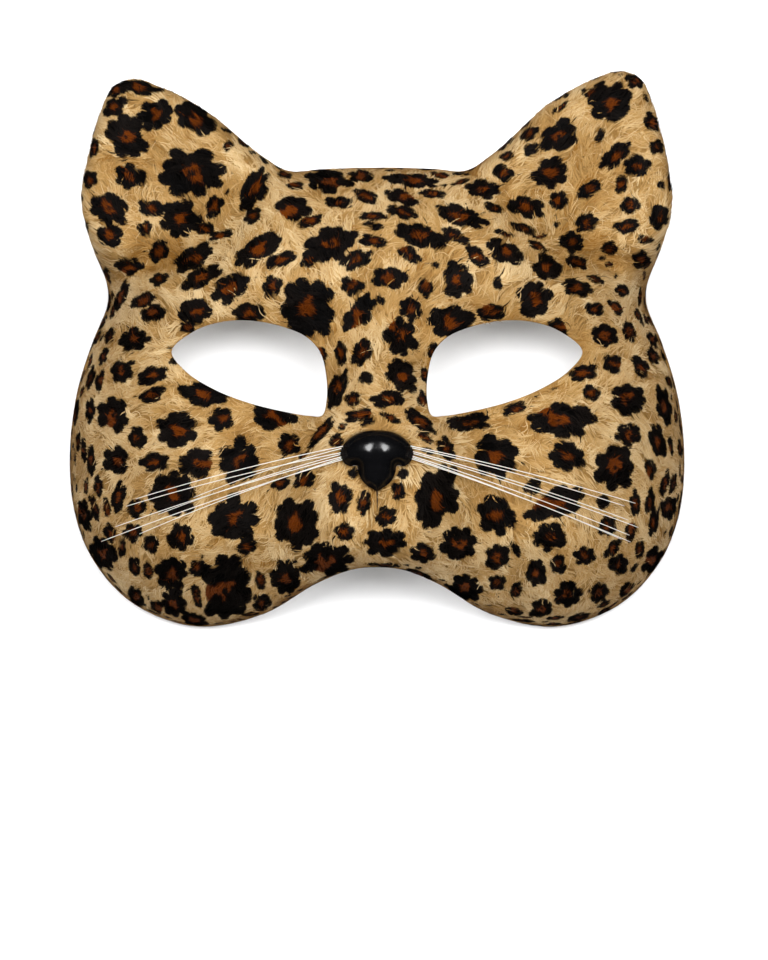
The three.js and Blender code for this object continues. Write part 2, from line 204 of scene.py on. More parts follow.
# The leopard print on the front: (x, y, width, height, turn in degrees) of each rosette, read off
# the photograph at its scale
ROSETTES = {
    "left ear": [
        (-78, 78.3, 7.4, 5, 35), (-71.5, 79, 12, 4.6, -12), (-78.9, 72.8, 8.6, 5, 28),
        (-66.8, 70.6, 11, 9.4, 20), (-55, 69.9, 13.2, 10, -35), (-75.3, 63.8, 14.8, 10.8, -52),
        (-85, 60.3, 3, 6.4, -12), (-74.1, 52, 9.4, 7.6, -10), (-55.6, 53.2, 20.4, 14, -8),
        (-40.2, 62.4, 4.2, 2.4, -40), (-44.6, 61.3, 2.8, 4, -30), (-86.1, 51.3, 4.8, 5.7, -10),
        (-80.2, 42.6, 12.6, 9, -28), (-67.6, 42.4, 9.4, 5.4, -12), (-59.1, 39.2, 12.6, 11.2, -20),
        (-48.8, 43.2, 4.8, 7.2, -35), (-37.2, 48.4, 7.4, 14.6, -30), (-69.5, 36.4, 4.6, 4.8, 0),
        (-51.6, 36.4, 5.8, 4.2, 0), (-46.6, 34.6, 8, 3.2, 12), (-37.2, 40.1, 5.6, 4.4, 20),
        (-80.3, 34.3, 8, 7.6, -15), (-65.4, 29.8, 5.8, 7.6, -25), (-55.2, 27.3, 13.8, 6.8, 30),
        (-27.4, 52.6, 4.6, 2.2, -15), (-24.6, 49.3, 5.6, 3, -8), (-82.9, 24.5, 1.3, 8, 12),
        (-81, 22.3, 1.7, 6.6, 14), (-76.6, 16.2, 3.2, 11, -24), (-80.6, 14.5, 1.5, 7, -2),
        (-79.2, 12, 1.5, 6, -14), (-82.4, 8.3, 1.9, 4.6, -35),
    ],
    "right ear": [
        (70.5, 74.5, 13.6, 12, 20), (77.5, 80.7, 6.4, 4.6, -15), (64.2, 77, 5.8, 3, -10),
        (54.6, 64, 13, 8.8, 20), (45.7, 65.1, 6.2, 3.6, 35), (51.8, 52.9, 10.6, 9.2, 20),
        (78.2, 55.2, 8.4, 6.6, -5), (82.4, 68.2, 4.6, 6.4, 30), (84, 61, 4.6, 4.6, -30),
        (37.8, 53, 6.8, 5, -20), (31.6, 48.2, 10.4, 5.6, -5), (39, 58.2, 4.5, 2.7, 20),
        (63.6, 48.3, 7.4, 5, 25), (73.4, 49.8, 4, 6, -20), (54.4, 44.9, 5.8, 5.6, 0),
        (44.8, 42.9, 11.4, 6.4, -15), (75.8, 43.5, 6.2, 5.6, 10), (84.8, 40.2, 6.4, 8, -5),
        (62.9, 38, 7.4, 5.6, 25), (75, 37, 8, 4, 12), (43.8, 36.5, 8, 3, -20),
        (58.6, 32.3, 7.4, 6.6, -15), (80.3, 33.2, 6.2, 3, -10), (48.3, 31.1, 6.4, 2.4, -25),
        (69.8, 30.5, 5, 4.4, 10), (79.1, 27.2, 5.4, 5.4, -10), (59.9, 26.2, 8, 3.6, -20),
        (71.8, 58.8, 11.6, 5.6, 42), (54.9, 72.6, 6.6, 1.6, 35), (86.8, 59.9, 1, 4, 8),
        (88, 50.8, 1.5, 7.4, 0), (48.8, 34, 5, 1.4, 5), (65.4, 21.3, 5.4, 2.4, -20),
        (69.4, 25.6, 2.6, 2, 0), (38.3, 34.9, 6.4, 1.8, -20), (25, 50.3, 6.4, 1.4, 18),
    ],
    "forehead": [
        (-15, 50.9, 14, 7.4, -5), (-4.4, 52, 8.2, 4, -5), (10, 51, 16, 4.2, -5),
        (19, 52.3, 6.6, 2, -14), (16.8, 46.9, 8.4, 3, -5), (7.5, 45.9, 11, 4.6, -12),
        (-3.4, 46.1, 8.6, 3.8, -22), (-11.6, 44.3, 8.8, 3.6, -5), (-25.4, 42.3, 11, 8, 10),
        (7.9, 41.3, 9.8, 3.8, -14), (-0.9, 40.2, 8.6, 2.8, -3), (-19.9, 38.7, 8.4, 3.4, 22),
        (24.7, 40.2, 17, 6, -17), (34.8, 42.8, 6.4, 2.8, -25), (-35.3, 30.8, 16.5, 7.6, 35),
        (-13.6, 32, 17, 9.6, 18), (-1.1, 32.8, 8.4, 3.8, -12), (13, 34.2, 16.6, 7.4, -17),
        (23.5, 34.3, 9.6, 3.6, -25), (38.8, 29.2, 12.4, 6.6, -27), (9.6, 28.9, 9, 4.2, -35),
        (-6, 27, 10.4, 5, 24), (-28.5, 27.2, 9.6, 4.6, 22), (-20, 27, 7, 3.6, 35),
        (30.3, 27.7, 8.6, 4.8, -35), (51.2, 24.6, 8.8, 7.8, -25), (-74.4, 24.8, 8.8, 5.8, 0),
        (-65.4, 21.2, 6, 3.8, 18), (-53, 21.6, 14.6, 5.2, 27), (-43.8, 18.9, 12.6, 8, 25),
        (-31.3, 18.9, 5.6, 7.6, -20), (3.7, 21.7, 10.8, 7, -5), (-7.6, 19.2, 7.4, 6, 5),
        (14.6, 19, 4.6, 7, 20), (24.2, 21.4, 9.6, 11.4, 20), (60, 18.6, 9.6, 5.4, -12),
        (73.6, 17.8, 4.8, 3.8, -30), (47.2, 15, 10.6, 11.4, 15), (34.1, 11.6, 8.4, 6, -5),
        (65.2, 12.1, 6.8, 4, -15), (71.3, 12.8, 6.4, 3.2, -45), (22.8, 8.3, 14.4, 11.4, -10),
        (-21.2, 12.6, 16.4, 18.6, 10), (-70.2, 14.8, 10.2, 4.2, 22), (-67, 11, 9.2, 5.2, 12),
        (-54.3, 11.8, 10.6, 7.8, 15), (-38.4, 10.8, 10.2, 7.2, 10), (10, 12.6, 6.8, 7.6, -15),
        (-5.3, 10.9, 14, 7.4, 57), (6.6, 4.5, 9.8, 12.6, 15), (54.5, 6.9, 7.2, 5, -20),
        (-56.8, 6.6, 5.2, 4, -10),
    ],
    "bridge": [
        (-10.7, -1, 3.8, 7.6, 12), (-4.4, -0.6, 5.6, 9.8, -20), (7.1, -7.7, 8, 12, 37),
        (-12.1, -12.2, 5.4, 13, -18), (-7.3, -14.8, 4.9, 4.6, 0), (3.3, -14.6, 10.2, 5.2, 3),
        (-16.8, -1.2, 3.6, 6.4, 20), (16.9, -0.2, 3.2, 5.4, -10), (14.2, -7.4, 2.8, 5, 10),
        (13.7, -14.9, 3, 5.8, 12), (-5, -19.6, 9.8, 4, 8), (4, -20.4, 7, 2.6, -22),
        (12.8, -21.6, 12, 4.6, -38), (14.2, -26.2, 7, 2.2, -35), (-16.9, -25, 12, 3.4, 49),
        (-12.1, -27.3, 4.4, 4.4, 0), (-10.4, -23, 3, 2.2, 25), (20.7, -29.7, 5, 8, 25),
    ],
    "left cheek": [
        (-80.3, 4.2, 2.8, 5.2, -25), (-73.1, 2.9, 9.8, 7.2, 10), (-82, -1.8, 2.6, 5, -22),
        (-86, -8.6, 2.6, 7.6, -15), (-76.4, -6.4, 6.8, 7, 10), (-83, -9, 2.8, 6.6, -15),
        (-67.6, -7.6, 10.6, 5.6, 15), (-67.6, -13.5, 8.6, 4.8, 22), (-52.4, -13.4, 16, 6.6, -12),
        (-86, -18.3, 3, 7.4, -3), (-79, -19.4, 9.4, 11.2, -10), (-72, -26.4, 5.8, 6.8, 10),
        (-60, -24, 12.6, 11.2, -10), (-46.6, -20.6, 7.6, 7, 0), (-85.7, -33.4, 2.6, 9.6, 3),
        (-78.2, -33.2, 7.6, 8.6, 10), (-67, -33.4, 9.4, 5.6, 8), (-53.8, -34, 12.2, 8.6, 5),
        (-61.8, -43, 14.8, 13, -30), (-83.6, -41, 2.6, 6.6, 0), (-77.6, -44, 3.8, 10, -8),
        (-88, -49.4, 4.6, 10.6, 15), (-84.6, -47.6, 2.2, 8.6, 18), (-81, -47.6, 2.6, 6.6, 12),
        (-72, -47.2, 5.4, 6.4, -20), (-80, -55, 3.6, 7, 20), (-73.5, -54.9, 6, 5.6, 10),
        (-82.4, -61, 8.1, 11, 20), (-76.6, -59.7, 2.6, 6.4, -8), (-67.7, -58.3, 5.2, 5.2, 0),
        (-59, -56, 8, 8.2, 0), (-72.6, -65.1, 3.6, 6.8, 0), (-68.5, -66.3, 3, 6.4, 10),
        (-61.8, -66.9, 9.6, 10.8, 0), (-72.3, -74.6, 4.6, 7.4, 15), (-65.8, -77.2, 3.6, 5.6, 20),
        (-61, -76, 8, 8.6, 20), (-54.8, -81.2, 9.4, 4.4, -22), (-53.7, -65.4, 4.8, 5.2, -30),
        (-54, -74, 3, 9.4, 12), (-41, -33.6, 12, 13.6, -15), (-43.4, -51.2, 15.6, 13.4, 20),
        (-45.6, -72.4, 16.6, 20, 0), (-84, 3.8, 1.8, 4.6, -30), (-85.8, 1.3, 1.6, 5, -32),
        (-88, -3.9, 1.5, 4.8, -25), (-89.8, -10, 1.4, 6, -18), (-90.5, -18.8, 2.2, 8.4, -9),
        (-92.3, -22, 1.2, 7, -8), (-89.6, -27.5, 1.6, 6, -6), (-88, -29.8, 1.8, 8, 2),
        (-92.3, -31, 1, 6, -3), (-87.2, -41, 1.4, 5, -5), (-78.8, -72.9, 1.6, 5, 48),
    ],
    "right cheek": [
        (68.2, 4.2, 9, 7, -18), (75.6, 5.6, 4.6, 6.4, 15), (82.6, 3.2, 2.4, 5.4, 28),
        (82.8, -1.8, 3.4, 6, 22), (70.7, -4.2, 6.8, 5.4, -10), (79, -5, 4.6, 7.6, 35),
        (62, -6.8, 9, 4.6, 12), (64.4, -13, 5.6, 4.8, -25), (75, -14.7, 10.8, 9.8, 15),
        (86, -16.8, 4.4, 12.6, 12), (75.6, -25.2, 8, 7.4, -15), (84.3, -27.6, 5, 10.6, 15),
        (71.4, -35.4, 12.4, 13.4, 10), (82, -36, 3.6, 6.8, 0), (86.3, -40.2, 2.4, 8.2, -10),
        (77.6, -46.2, 3.6, 8, 5), (81.8, -45.6, 2.8, 8.4, -10), (87.6, -47.2, 5.4, 7.4, -15),
        (82.8, -51.6, 2.8, 9.4, -12), (69, -52.7, 5.6, 6.4, -25), (76.1, -54.4, 3.4, 7.6, -6),
        (70.7, -59.3, 3.5, 6.9, -36), (89.8, -53.2, 2.8, 6.6, -12), (62.2, -61.6, 6.4, 6, 5),
        (78.8, -60, 2.8, 6.6, 0), (54.1, -64.3, 5.1, 6, 0), (72.4, -64.2, 6.4, 6, 10),
        (82.6, -63.4, 6.2, 8.4, -25), (54.6, -21, 21.4, 11, -3), (56.8, -31.8, 11.6, 8.8, -3),
        (53.4, -46, 20.4, 9, 20), (52, -56, 10.4, 9.2, 10), (41.3, -17.7, 8, 3.8, 18),
        (47.6, -66.8, 6, 9.6, 0), (35.6, -32, 14.4, 13, -15), (35.8, -49.2, 12.8, 11, -30),
        (27.3, -21.6, 14.6, 5.2, 8), (41.8, -72, 3.4, 6, -15), (78.9, 16, 1.6, 6, -5),
        (78.4, 10.5, 2, 4.6, 30), (83.1, 12.4, 1.4, 4.8, 22), (82, 8.9, 1.6, 3.2, 28),
        (86, 4.8, 2, 4.2, 25), (88, -0.8, 1.7, 4.2, 25), (90, -8.8, 1.6, 5, 15),
        (87.6, -9.4, 1.8, 4, 20), (91.7, -18.9, 1.2, 5, 8), (89.7, -19.8, 1.2, 5, 8),
        (88, -28.8, 1.6, 6.6, 5), (91, -29.8, 1.8, 5, 5), (92.7, -27.8, 0.9, 8, 3),
        (88.8, -40.4, 2.4, 6.8, -15), (91.9, -38.8, 2, 2.4, 20), (84.6, 26.5, 1.2, 7, -12),
        (80.2, 22.4, 1, 5, 5),
    ],
    "hidden by the inset": [
        (57.4, -73.4, 8.8, 7.6, 15), (66.6, -72.8, 5.8, 6.6, -10), (49.4, -77.6, 7.4, 5.6, 20),
        (41, -78.2, 5.6, 3, -15), (60.4, -80.4, 8, 2.8, 10), (75, -71.8, 3.6, 5.6, -35),
        (68.6, -78.6, 4, 3, 25), (53, -82.4, 5.6, 1.4, 3),
    ],
    "muzzle": [
        (-31, -19.8, 14.6, 8.6, -12), (-26.2, -28.6, 6.6, 7, 0), (-21.8, -38.6, 8, 5.4, 38),
        (-29, -40, 6.6, 3.4, 20), (-10.8, -44.6, 7, 10.2, 8), (-39, -58.4, 5.4, 7.4, -15),
        (-24.3, -52, 14.8, 14.8, 10), (-9.8, -54.5, 6.4, 5.4, 10), (-35, -69, 3, 7, 12),
        (-34.4, -75.8, 6, 5.6, -30), (-27.2, -68.5, 9.4, 10.8, 0), (-15.3, -62.8, 16, 11.2, 0),
        (-3.9, -45.6, 4, 7.8, -5), (6.4, -42.4, 4.4, 6, 10), (2.6, -49.8, 7.4, 5.4, 20),
        (2.2, -57.8, 14.6, 8.6, -5), (13.8, -60.7, 7.8, 6.4, -10), (2.4, -64.6, 10.4, 1.6, -3),
        (12, -67.2, 9.6, 3, -25), (17.6, -44, 20, 12.6, 66), (24.6, -58, 10.6, 11, 30),
        (36, -62.3, 7.6, 7.6, -30), (36, -69.8, 5.2, 4.8, -10), (26, -71.6, 9, 9, -15),
        (-22, -31.5, 4, 1.6, 40), (-27.5, -75.7, 1, 3.4, -62), (-14.6, -68, 1, 4.6, -70),
    ],
}
# Spots without a rust centre
SOLID_SPOTS = [
    (-45.2, 66, 4.2, 1.3, -15), (-37.5, 59.3, 3, 1.1, -10), (-34, 57, 4, 1.6, -38),
    (-29.5, 54.8, 3, 1.2, -35), (-64.8, 78.3, 3, 1.6, -30), (-45, 47.3, 2.6, 1.1, 55),
    (66.9, 64.2, 3.4, 5.8, -35), (46.3, 60.2, 5.4, 4.6, 40), (67, 79.9, 4.4, 1.6, 25),
    (73, 82.6, 2, 0.8, 20), (85.2, 67, 1.2, 4.4, 18), (80.6, 75.6, 1.6, 3.2, 25),
    (85.4, 49.6, 3.2, 2.6, -40), (53.8, 37.7, 2.6, 2, 40), (67.6, 27.6, 3, 1.8, 20),
    (71.6, 22, 1.2, 1.6, 0), (3.9, 53.8, 3.6, 1, 0), (20, 49.4, 2.7, 1, 0), (25, 52.8, 6, 1.2, -3),
    (-1.1, 37.2, 6.6, 2.8, -10), (36.2, 20.2, 3.4, 4.8, 15), (17.7, 25.5, 3, 2.4, 0),
    (1, 14.9, 3.6, 3, 0), (42.4, 8, 5, 1.6, 0), (-3.4, -8.6, 5, 4.2, 0),
    (-2.6, -21.8, 5.6, 2.2, 15),
    (-61.1, -3.4, 3, 2.7, 0), (-62.3, 0.6, 2, 1, 0), (-73.6, -3.8, 3.2, 1.8, 20),
    (47.5, -14, 3.4, 0.9, 22), (53.4, -11.5, 3, 0.9, 25), (-7.2, -37, 3.8, 4, -20),
    (7.8, -37, 4, 4, 20), (41.8, -59.8, 3, 6, 25), (46.6, -40.8, 6.8, 5, 40),
    (67.6, -45.6, 4.4, 5, -20), (-24.4, -63.5, 1.8, 1.3, 0), (15.2, -30.2, 5, 2.4, -15),
    (23, -36.2, 3, 3, 0), (77.2, -65.2, 1.8, 3.8, -35), (79.6, 8, 1.2, 2.4, 25),
    (86.3, -2.5, 1, 6.6, 25), (-68.7, -74.3, 1, 2.6, 15), (-69.6, -76.6, 0.9, 1.4, 0),
    (-52.4, -61.9, 1.1, 1.4, 0), (20.8, -70.9, 2.2, 1.6, -30),
]
SCATTER = {
    "tries": 9000, "radius": (1.3, 4), "gap": 1.3, "slope": 0.3, "stretch": (1, 1.25),
    "solid_below": 1.8,
}
DOTS = {"count": 260, "radius": (0.22, 0.42), "black": 0.85, "core": 0.5}
ROSETTE_DEPTH = 0.4  # of its size: a rosette closes where the surface turns this far down
ROSETTE_REACH = 1.5  # of its size: nothing of a rosette lies further away
ROSETTE_LIMIT = 0.8  # of its longest side: no rosette runs further down a steep side
STEEPEST = 0.3  # upward part of a normal at which a rosette is taken to be stretched no further
PETALS = {"fewest": 3, "most": 9, "base": 2.7, "per_mm": 0.34, "spread": 0.7, "of_solid": 4}
PETAL_PLACE = 0.64  # of a rosette's radius
PETAL_REACH = 0.38
SOLID_PLACE = 0.3
SOLID_REACH = 0.6
SOLID_CORE = 0.55
PETAL_BLUNT = 2.6  # 2 makes a petal an ellipse, more makes it blunter
PETAL_BODY = (0.46, 0.75)
PETAL_WIDTH = (0.92, 1.3)
PETAL_VARIES = {
    "place": (0.84, 1.1), "reach": (0.74, 1.2), "turn": 0.27, "core": (-0.6, 1), "shift": 0.07,
}
RING_SLOPE = 2.2
OPEN_RINGS = {"share": 0.16, "half_angle": 0.5}  # rosettes that lack a petal
EDGE_SOFTNESS = 0.45  # in millimetres
PRINT_GROWTH = 1.08  # petals reach this much beyond the sizes above
RUST_REACH = 0.66
RUST_CORE = 0.15  # at most this much of the radius is black in the middle of the rust
FEATHER = 0.1  # how far the pile shifts the print's edges
PRINT_STEP = 0.08  # a change of colour that a strand's mesh follows closely
NOSE_SHADE = 0.9  # painted contact shadow: the pile is darker this close to the nose
NOSE_SHADOW_DARKEST = 0.4
STRAND_ROUNDNESS = 0.5
RELIEF_SHADE = {"reach": 9, "lighter": 0.22, "limits": (-0.9, 0.2)}  # painted shade in the hollows and painted light on the ridges and along the outline

BLACK = np.array([0.0021, 0.0015, 0.0012])
RUST = np.array([0.076, 0.0160, 0.0008])
CREAM = np.array([0.49, 0.354, 0.182])
TAN = np.array([0.312, 0.183, 0.062])
GOLD = np.array([0.185, 0.084, 0.016])
# Rust and black follow a strand's lightness too, so they carry its random tone as well as its
# painted shade and highlight
RUST_LIGHTER = 0.45
BLACK_LIGHTER = {"by": 1.6, "least": -0.5}

# Camera: straight above, as far as makes the photograph's scale
PHOTO_SIZE = (768, 960)
MM_PER_PIXEL = 0.3
MASK_MIDDLE_PIXEL = (377, 350)
SCALE_HEIGHT = 25  # height at which that scale holds
LENS = 400
SENSOR = 36
CAMERA_DISTANCE = PHOTO_SIZE[1] * MM_PER_PIXEL * LENS / SENSOR  # from that height
CAMERA_PLACE = np.array([
    (PHOTO_SIZE[0] / 2 - MASK_MIDDLE_PIXEL[0]) * MM_PER_PIXEL,
    (MASK_MIDDLE_PIXEL[1] - PHOTO_SIZE[1] / 2) * MM_PER_PIXEL,
])

# Light: softboxes as degrees across and up from straight above, diameter in metres, power in watts
# and whether glossy surfaces mirror them; and the sky's strength. Distances and places in metres
LIGHT_DISTANCE = 2.6
LIGHT_TARGET = (0, -0.01, 0.05)
LIGHTS = {
    "above_left": (-7, 6, 0.5, 28, False),
    "above_right": (7, 6, 0.5, 28, False),
    "glint_left": (-21, 8, 1.15, 37, True),
    "glint_right": (21, 8, 1.15, 37, True),
    "from_top": (0, 50, 1, 22, False),
    "from_bottom": (0, -52, 1, 16, False),
}
SKY = {"horizon": 1.75, "overhead": 0.03, "from": 0.1, "to": 0.95}
FLOOR_HALF = 3000
BACKDROP_HALF = 8000


def clamp01(t):
    return np.clip(t, 0, 1)


def mix(a, b, t):
    return a + (b - a) * t


def smoothstep(start, end, value):
    t = clamp01((value - start) / (end - start))
    return t * t * (3 - 2 * t)


def unit(vectors):
    return vectors / np.maximum(np.linalg.norm(vectors, axis=-1, keepdims=True), 1e-9)


def dot(a, b):
    return (a * b).sum(axis=-1)


def roll(t):
    return np.sqrt(1 - (1 - clamp01(t)) ** 2)


def soft_roll(t):
    return 1 - (1 - clamp01(t)) ** 2


def hill_height(hill, out, up):
    centre_out, centre_up, rx, ry, rise = hill
    return rise * np.exp(-(((out - centre_out) / rx) ** 2) - ((up - centre_up) / ry) ** 2)


def sum_of_hills(hills, out, up):
    return sum(hill_height(hill, out, up) for hill in hills)


def soft_max(a, b, size):
    near = np.maximum(size - np.abs(a - b), 0) / size
    return np.maximum(a, b) + near * near * size / 4


class Noise:
    """Smooth value noise from -1 to 1 on a seeded lattice."""

    SIZE = 256

    def __init__(self, source):
        self.lattice = source.uniform(-1, 1, (self.SIZE, self.SIZE))

    def __call__(self, x, y, scale):
        x, y = x / scale, y / scale
        i, j = np.floor(x).astype(int), np.floor(y).astype(int)
        fx, fy = x - i, y - j
        fx, fy = fx * fx * (3 - 2 * fx), fy * fy * (3 - 2 * fy)
        i0, j0 = i % self.SIZE, j % self.SIZE
        i1, j1 = (i0 + 1) % self.SIZE, (j0 + 1) % self.SIZE
        low = mix(self.lattice[i0, j0], self.lattice[i1, j0], fx)
        high = mix(self.lattice[i0, j1], self.lattice[i1, j1], fx)
        return mix(low, high, fy)


# Outlines
def closed_curve(places, steps_per_span):
    """Centripetal Catmull-Rom curve through a closed row of places."""
    p = np.array(places, float)
    t = np.arange(steps_per_span)[:, None] / steps_per_span
    before, after, beyond = np.roll(p, 1, axis=0), np.roll(p, -1, axis=0), np.roll(p, -2, axis=0)
    points = []
    for p0, p1, p2, p3 in zip(before, p, after, beyond):
        d0, d1, d2 = (math.sqrt(np.linalg.norm(b - a)) for a, b in ((p0, p1), (p1, p2), (p2, p3)))
        leave = ((p1 - p0) / d0 - (p2 - p0) / (d0 + d1) + (p2 - p1) / d1) * d1
        arrive = ((p2 - p1) / d1 - (p3 - p1) / (d1 + d2) + (p3 - p2) / d2) * d1
        square = -3 * p1 + 3 * p2 - 2 * leave - arrive
        cube = 2 * p1 - 2 * p2 + leave + arrive
        points.append(p1 + leave * t + square * t**2 + cube * t**3)
    return np.vstack(points)


def mirrored_curve(half, steps_per_span, right_rise=0.0):
    right = np.array(half, float)
    left = right[1:-1][::-1] * [-1, 1]
    right[:, 1] += right_rise * smoothstep(50, 80, right[:, 1])
    return closed_curve(np.vstack([right, left]), steps_per_span)


def evenly(outline, count):
    """The closed outline in that many steps of one length."""
    closed = np.vstack([outline, outline[:1]])
    walked = np.concatenate([[0], np.cumsum(np.linalg.norm(np.diff(closed, axis=0), axis=1))])
    at = np.arange(count) / count * walked[-1]
    return np.column_stack([np.interp(at, walked, closed[:, k]) for k in range(2)])


def inside_distance(outline, x, y):
    """Distance from (x, y) to a closed outline, positive inside it."""
    x, y = np.asarray(x, float), np.asarray(y, float)
    nearest = np.full(x.shape, np.inf)
    inside = np.zeros(x.shape, bool)
    for (ax, ay), (bx, by) in zip(outline, np.roll(outline, -1, axis=0)):
        dx, dy = bx - ax, by - ay
        t = clamp01(((x - ax) * dx + (y - ay) * dy) / (dx * dx + dy * dy))
        nearest = np.minimum(nearest, np.hypot(x - ax - t * dx, y - ay - t * dy))
        if ay != by:
            inside ^= ((ay > y) != (by > y)) & (x < ax + (y - ay) / dy * dx)
    return np.where(inside, nearest, -nearest)


mask_edge = mirrored_curve(FOREHEAD_EDGE + EAR_EDGE + SIDE_EDGE, 6, RIGHT_EAR_RISE)
head_edge = mirrored_curve(FOREHEAD_EDGE + HEAD_EDGE_BEHIND_EAR + SIDE_EDGE, 6)
nose_edge = mirrored_curve(NOSE_EDGE, 8)
eye_edges = [closed_curve([(side * x, y) for x, y in EYE_EDGE], 8) for side in (-1, 1)]


# The form
def rim_height(x, y):
    top = TOP_RIM * smoothstep(*RIM_TOP, y)
    across_lip = 1 - smoothstep(0, RIM_LIP["half_width"], np.abs(x))
    return top + LIP_RIM * across_lip * smoothstep(RIM_LIP["from"], RIM_LIP["to"], y)


def face_form(x, y):
    out = np.abs(x)
    wrapped = FACE_HEIGHT - FACE_WRAP * (out / FACE_HALF_WIDTH) ** 2
    widening = smoothstep(SNOUT_HALF_WIDTH["from"], SNOUT_HALF_WIDTH["to"], y)
    snout_half = mix(SNOUT_HALF_WIDTH["narrow"], SNOUT_HALF_WIDTH["wide"], widening)
    along = smoothstep(SNOUT["from"], SNOUT["to"], y)
    snout = SNOUT["rise"] * along * np.exp(-((out / snout_half) ** SNOUT["sharpness"]))
    falls = sum(rise * smoothstep(start, end, y) for start, end, rise in (FOREHEAD_FALL, LIP_FALL))
    return wrapped + snout + falls + sum_of_hills(FACE_HILLS, out, y)


def ear_form(x, y):
    out = np.abs(x) - EAR_BASE[0]
    rise = y - EAR_BASE[1]
    up = out * EAR_DIRECTION[0] + rise * EAR_DIRECTION[1]
    across = out * EAR_DIRECTION[1] - rise * EAR_DIRECTION[0]
    turn = EAR_TURN["slope"] * np.maximum(across, 0) * (1 - smoothstep(0, EAR_TURN["up_to"], up))
    fade = EAR_FADE["depth"] * (1 - smoothstep(EAR_FADE["from"], EAR_FADE["to"], up))
    return EAR_PLATE - EAR_LEAN * up - turn - fade + hill_height(EAR_DISH, across, up)


def face_roll_width(x, y):
    out = np.abs(x)
    bottom = mix(ROLL["lip"], ROLL["cheek"], smoothstep(*ROLL_CHANGE["lip_to_cheek"], out))
    top = mix(ROLL["top"], ROLL["side"], smoothstep(*ROLL_CHANGE["top_to_side"], out))
    upper = mix(ROLL["side"], top, smoothstep(*ROLL_CHANGE["side_to_top"], y))
    higher = ROLL_CHANGE["higher"] * (1 - smoothstep(*ROLL_CHANGE["higher_to_level"], out))
    return mix(upper, bottom, smoothstep(*ROLL_CHANGE["to_bottom"], y - higher))


def front_height(x, y):
    rim = rim_height(x, y)
    edge_distance = inside_distance(mask_edge, x, y)
    head_distance = np.minimum(inside_distance(head_edge, x, y), edge_distance)
    behind_ear = smoothstep(0, BEHIND_EAR, edge_distance - head_distance)
    turned = head_distance / face_roll_width(x, y)
    face = rim + (face_form(x, y) - rim) * mix(roll(turned), soft_roll(turned), behind_ear)
    ear = rim + (ear_form(x, y) - rim) * roll(edge_distance / ROLL["ear"])
    return soft_max(face, ear, 0.01 + EAR_FOLD * smoothstep(0, ROLL["ear"], edge_distance))


def dome_height(dome, out, up):
    level = 1 - (out / dome["rx"]) ** 2 - ((up - dome["up"]) / dome["ry"]) ** 2
    return dome["rise"] * np.sqrt(np.maximum(level, 0))


def nose_rise(x, y):
    """How far the nose stands over the face."""
    out = np.abs(x)
    inward = inside_distance(nose_edge, x, y)
    domes = soft_max(dome_height(NOSE_CAP, out, y), dome_height(NOSE_COLUMN, out, y), NOSE_FOLD)
    shoulder = hill_height(NOSE_SHOULDER, out, y) * smoothstep(0, NOSE_ROLL, inward)
    rise = NOSE_SIDE + domes * roll(inward / NOSE_ROLL) + shoulder + hill_height(NOSTRIL, out, y)
    return np.maximum(rise, NOSE_LOWEST * NOSE_SIDE)


def ring_places(outline, rings, power, centre=CENTRE):
    """(ring, around, xy) places from an outline in to a centre, which is the last ring."""
    inward = (np.arange(rings + 1) / rings)[:, None, None] ** power
    return mix(outline[None], centre, inward)


def sheet_normals(points):
    """Outward normals of a sheet of rings."""
    around = np.roll(points, -1, axis=1) - np.roll(points, 1, axis=1)
    inward = np.gradient(points, axis=0)
    normals = unit(np.cross(inward, around))
    normals[-1] = unit(normals[-2].mean(axis=0))
    return normals


class Skin:
    """The mask's front as a fine table, read at any (x, y) by smooth steps between its places.

    Its rings lie closer together towards the outline, where the front turns into upright sides.
    """

    POWER = 2

    def __init__(self, around, inward):
        self.around, self.inward = around, inward
        self.outline = evenly(mask_edge, around)
        places = ring_places(self.outline, inward, self.POWER)
        heights = front_height(places[..., 0], places[..., 1])
        self.points = np.concatenate([places, heights[..., None]], axis=-1)
        self.normals = sheet_normals(self.points)
        angles = np.unwrap(np.arctan2(*(self.outline - CENTRE).T[::-1]))
        self.angles = np.append(angles, angles[0] - 2 * math.pi)
        self.radii = np.linalg.norm(self.outline - CENTRE, axis=1)

    def read(self, table, u, v):
        j = np.floor(u).astype(int)
        i = np.minimum(np.floor(v).astype(int), self.inward - 1)
        fu, fv = (u - j)[:, None], (v - i)[:, None]
        j0, j1 = j % self.around, (j + 1) % self.around
        outer = mix(table[i, j0], table[i, j1], fu)
        inner = mix(table[i + 1, j0], table[i + 1, j1], fu)
        return mix(outer, inner, fv)

    def locate(self, x, y):
        """Table coordinates of (x, y): steps around and steps inward."""
        first, last = self.angles[0], self.angles[-1]
        angle = last + np.mod(np.arctan2(y - CENTRE[1], x - CENTRE[0]) - last, first - last)
        u = np.interp(-angle, -self.angles, np.arange(self.around + 1))
        reach = np.interp(u, np.arange(self.around + 1), np.append(self.radii, self.radii[0]))
        inward = 1 - np.hypot(x - CENTRE[0], y - CENTRE[1]) / reach
        return u, clamp01(inward) ** (1 / self.POWER) * self.inward

    def at(self, x, y):
        """Points and normals of the front over (x, y)."""
        u, v = self.locate(x, y)
        return self.read(self.points, u, v), unit(self.read(self.normals, u, v))

    def scatter(self, count, source):
        """Random (x, y) places, evenly over the curved surface."""
        p = self.points
        along = np.roll(p, -1, axis=1)[:-1] - p[:-1]
        down = p[1:] - p[:-1]
        area = np.linalg.norm(np.cross(along, down), axis=-1)
        total = np.cumsum(area)
        shares = (np.arange(count) + source.random(count)) / count
        cells = np.searchsorted(total, shares * total[-1])
        i, j = np.unravel_index(np.minimum(cells, area.size - 1), area.shape)
        spots = self.read(p, j + source.random(count), i + source.random(count))
        return spots[:, 0], spots[:, 1]


skin = Skin(**SKIN_STEPS)
noise = Noise(rng)


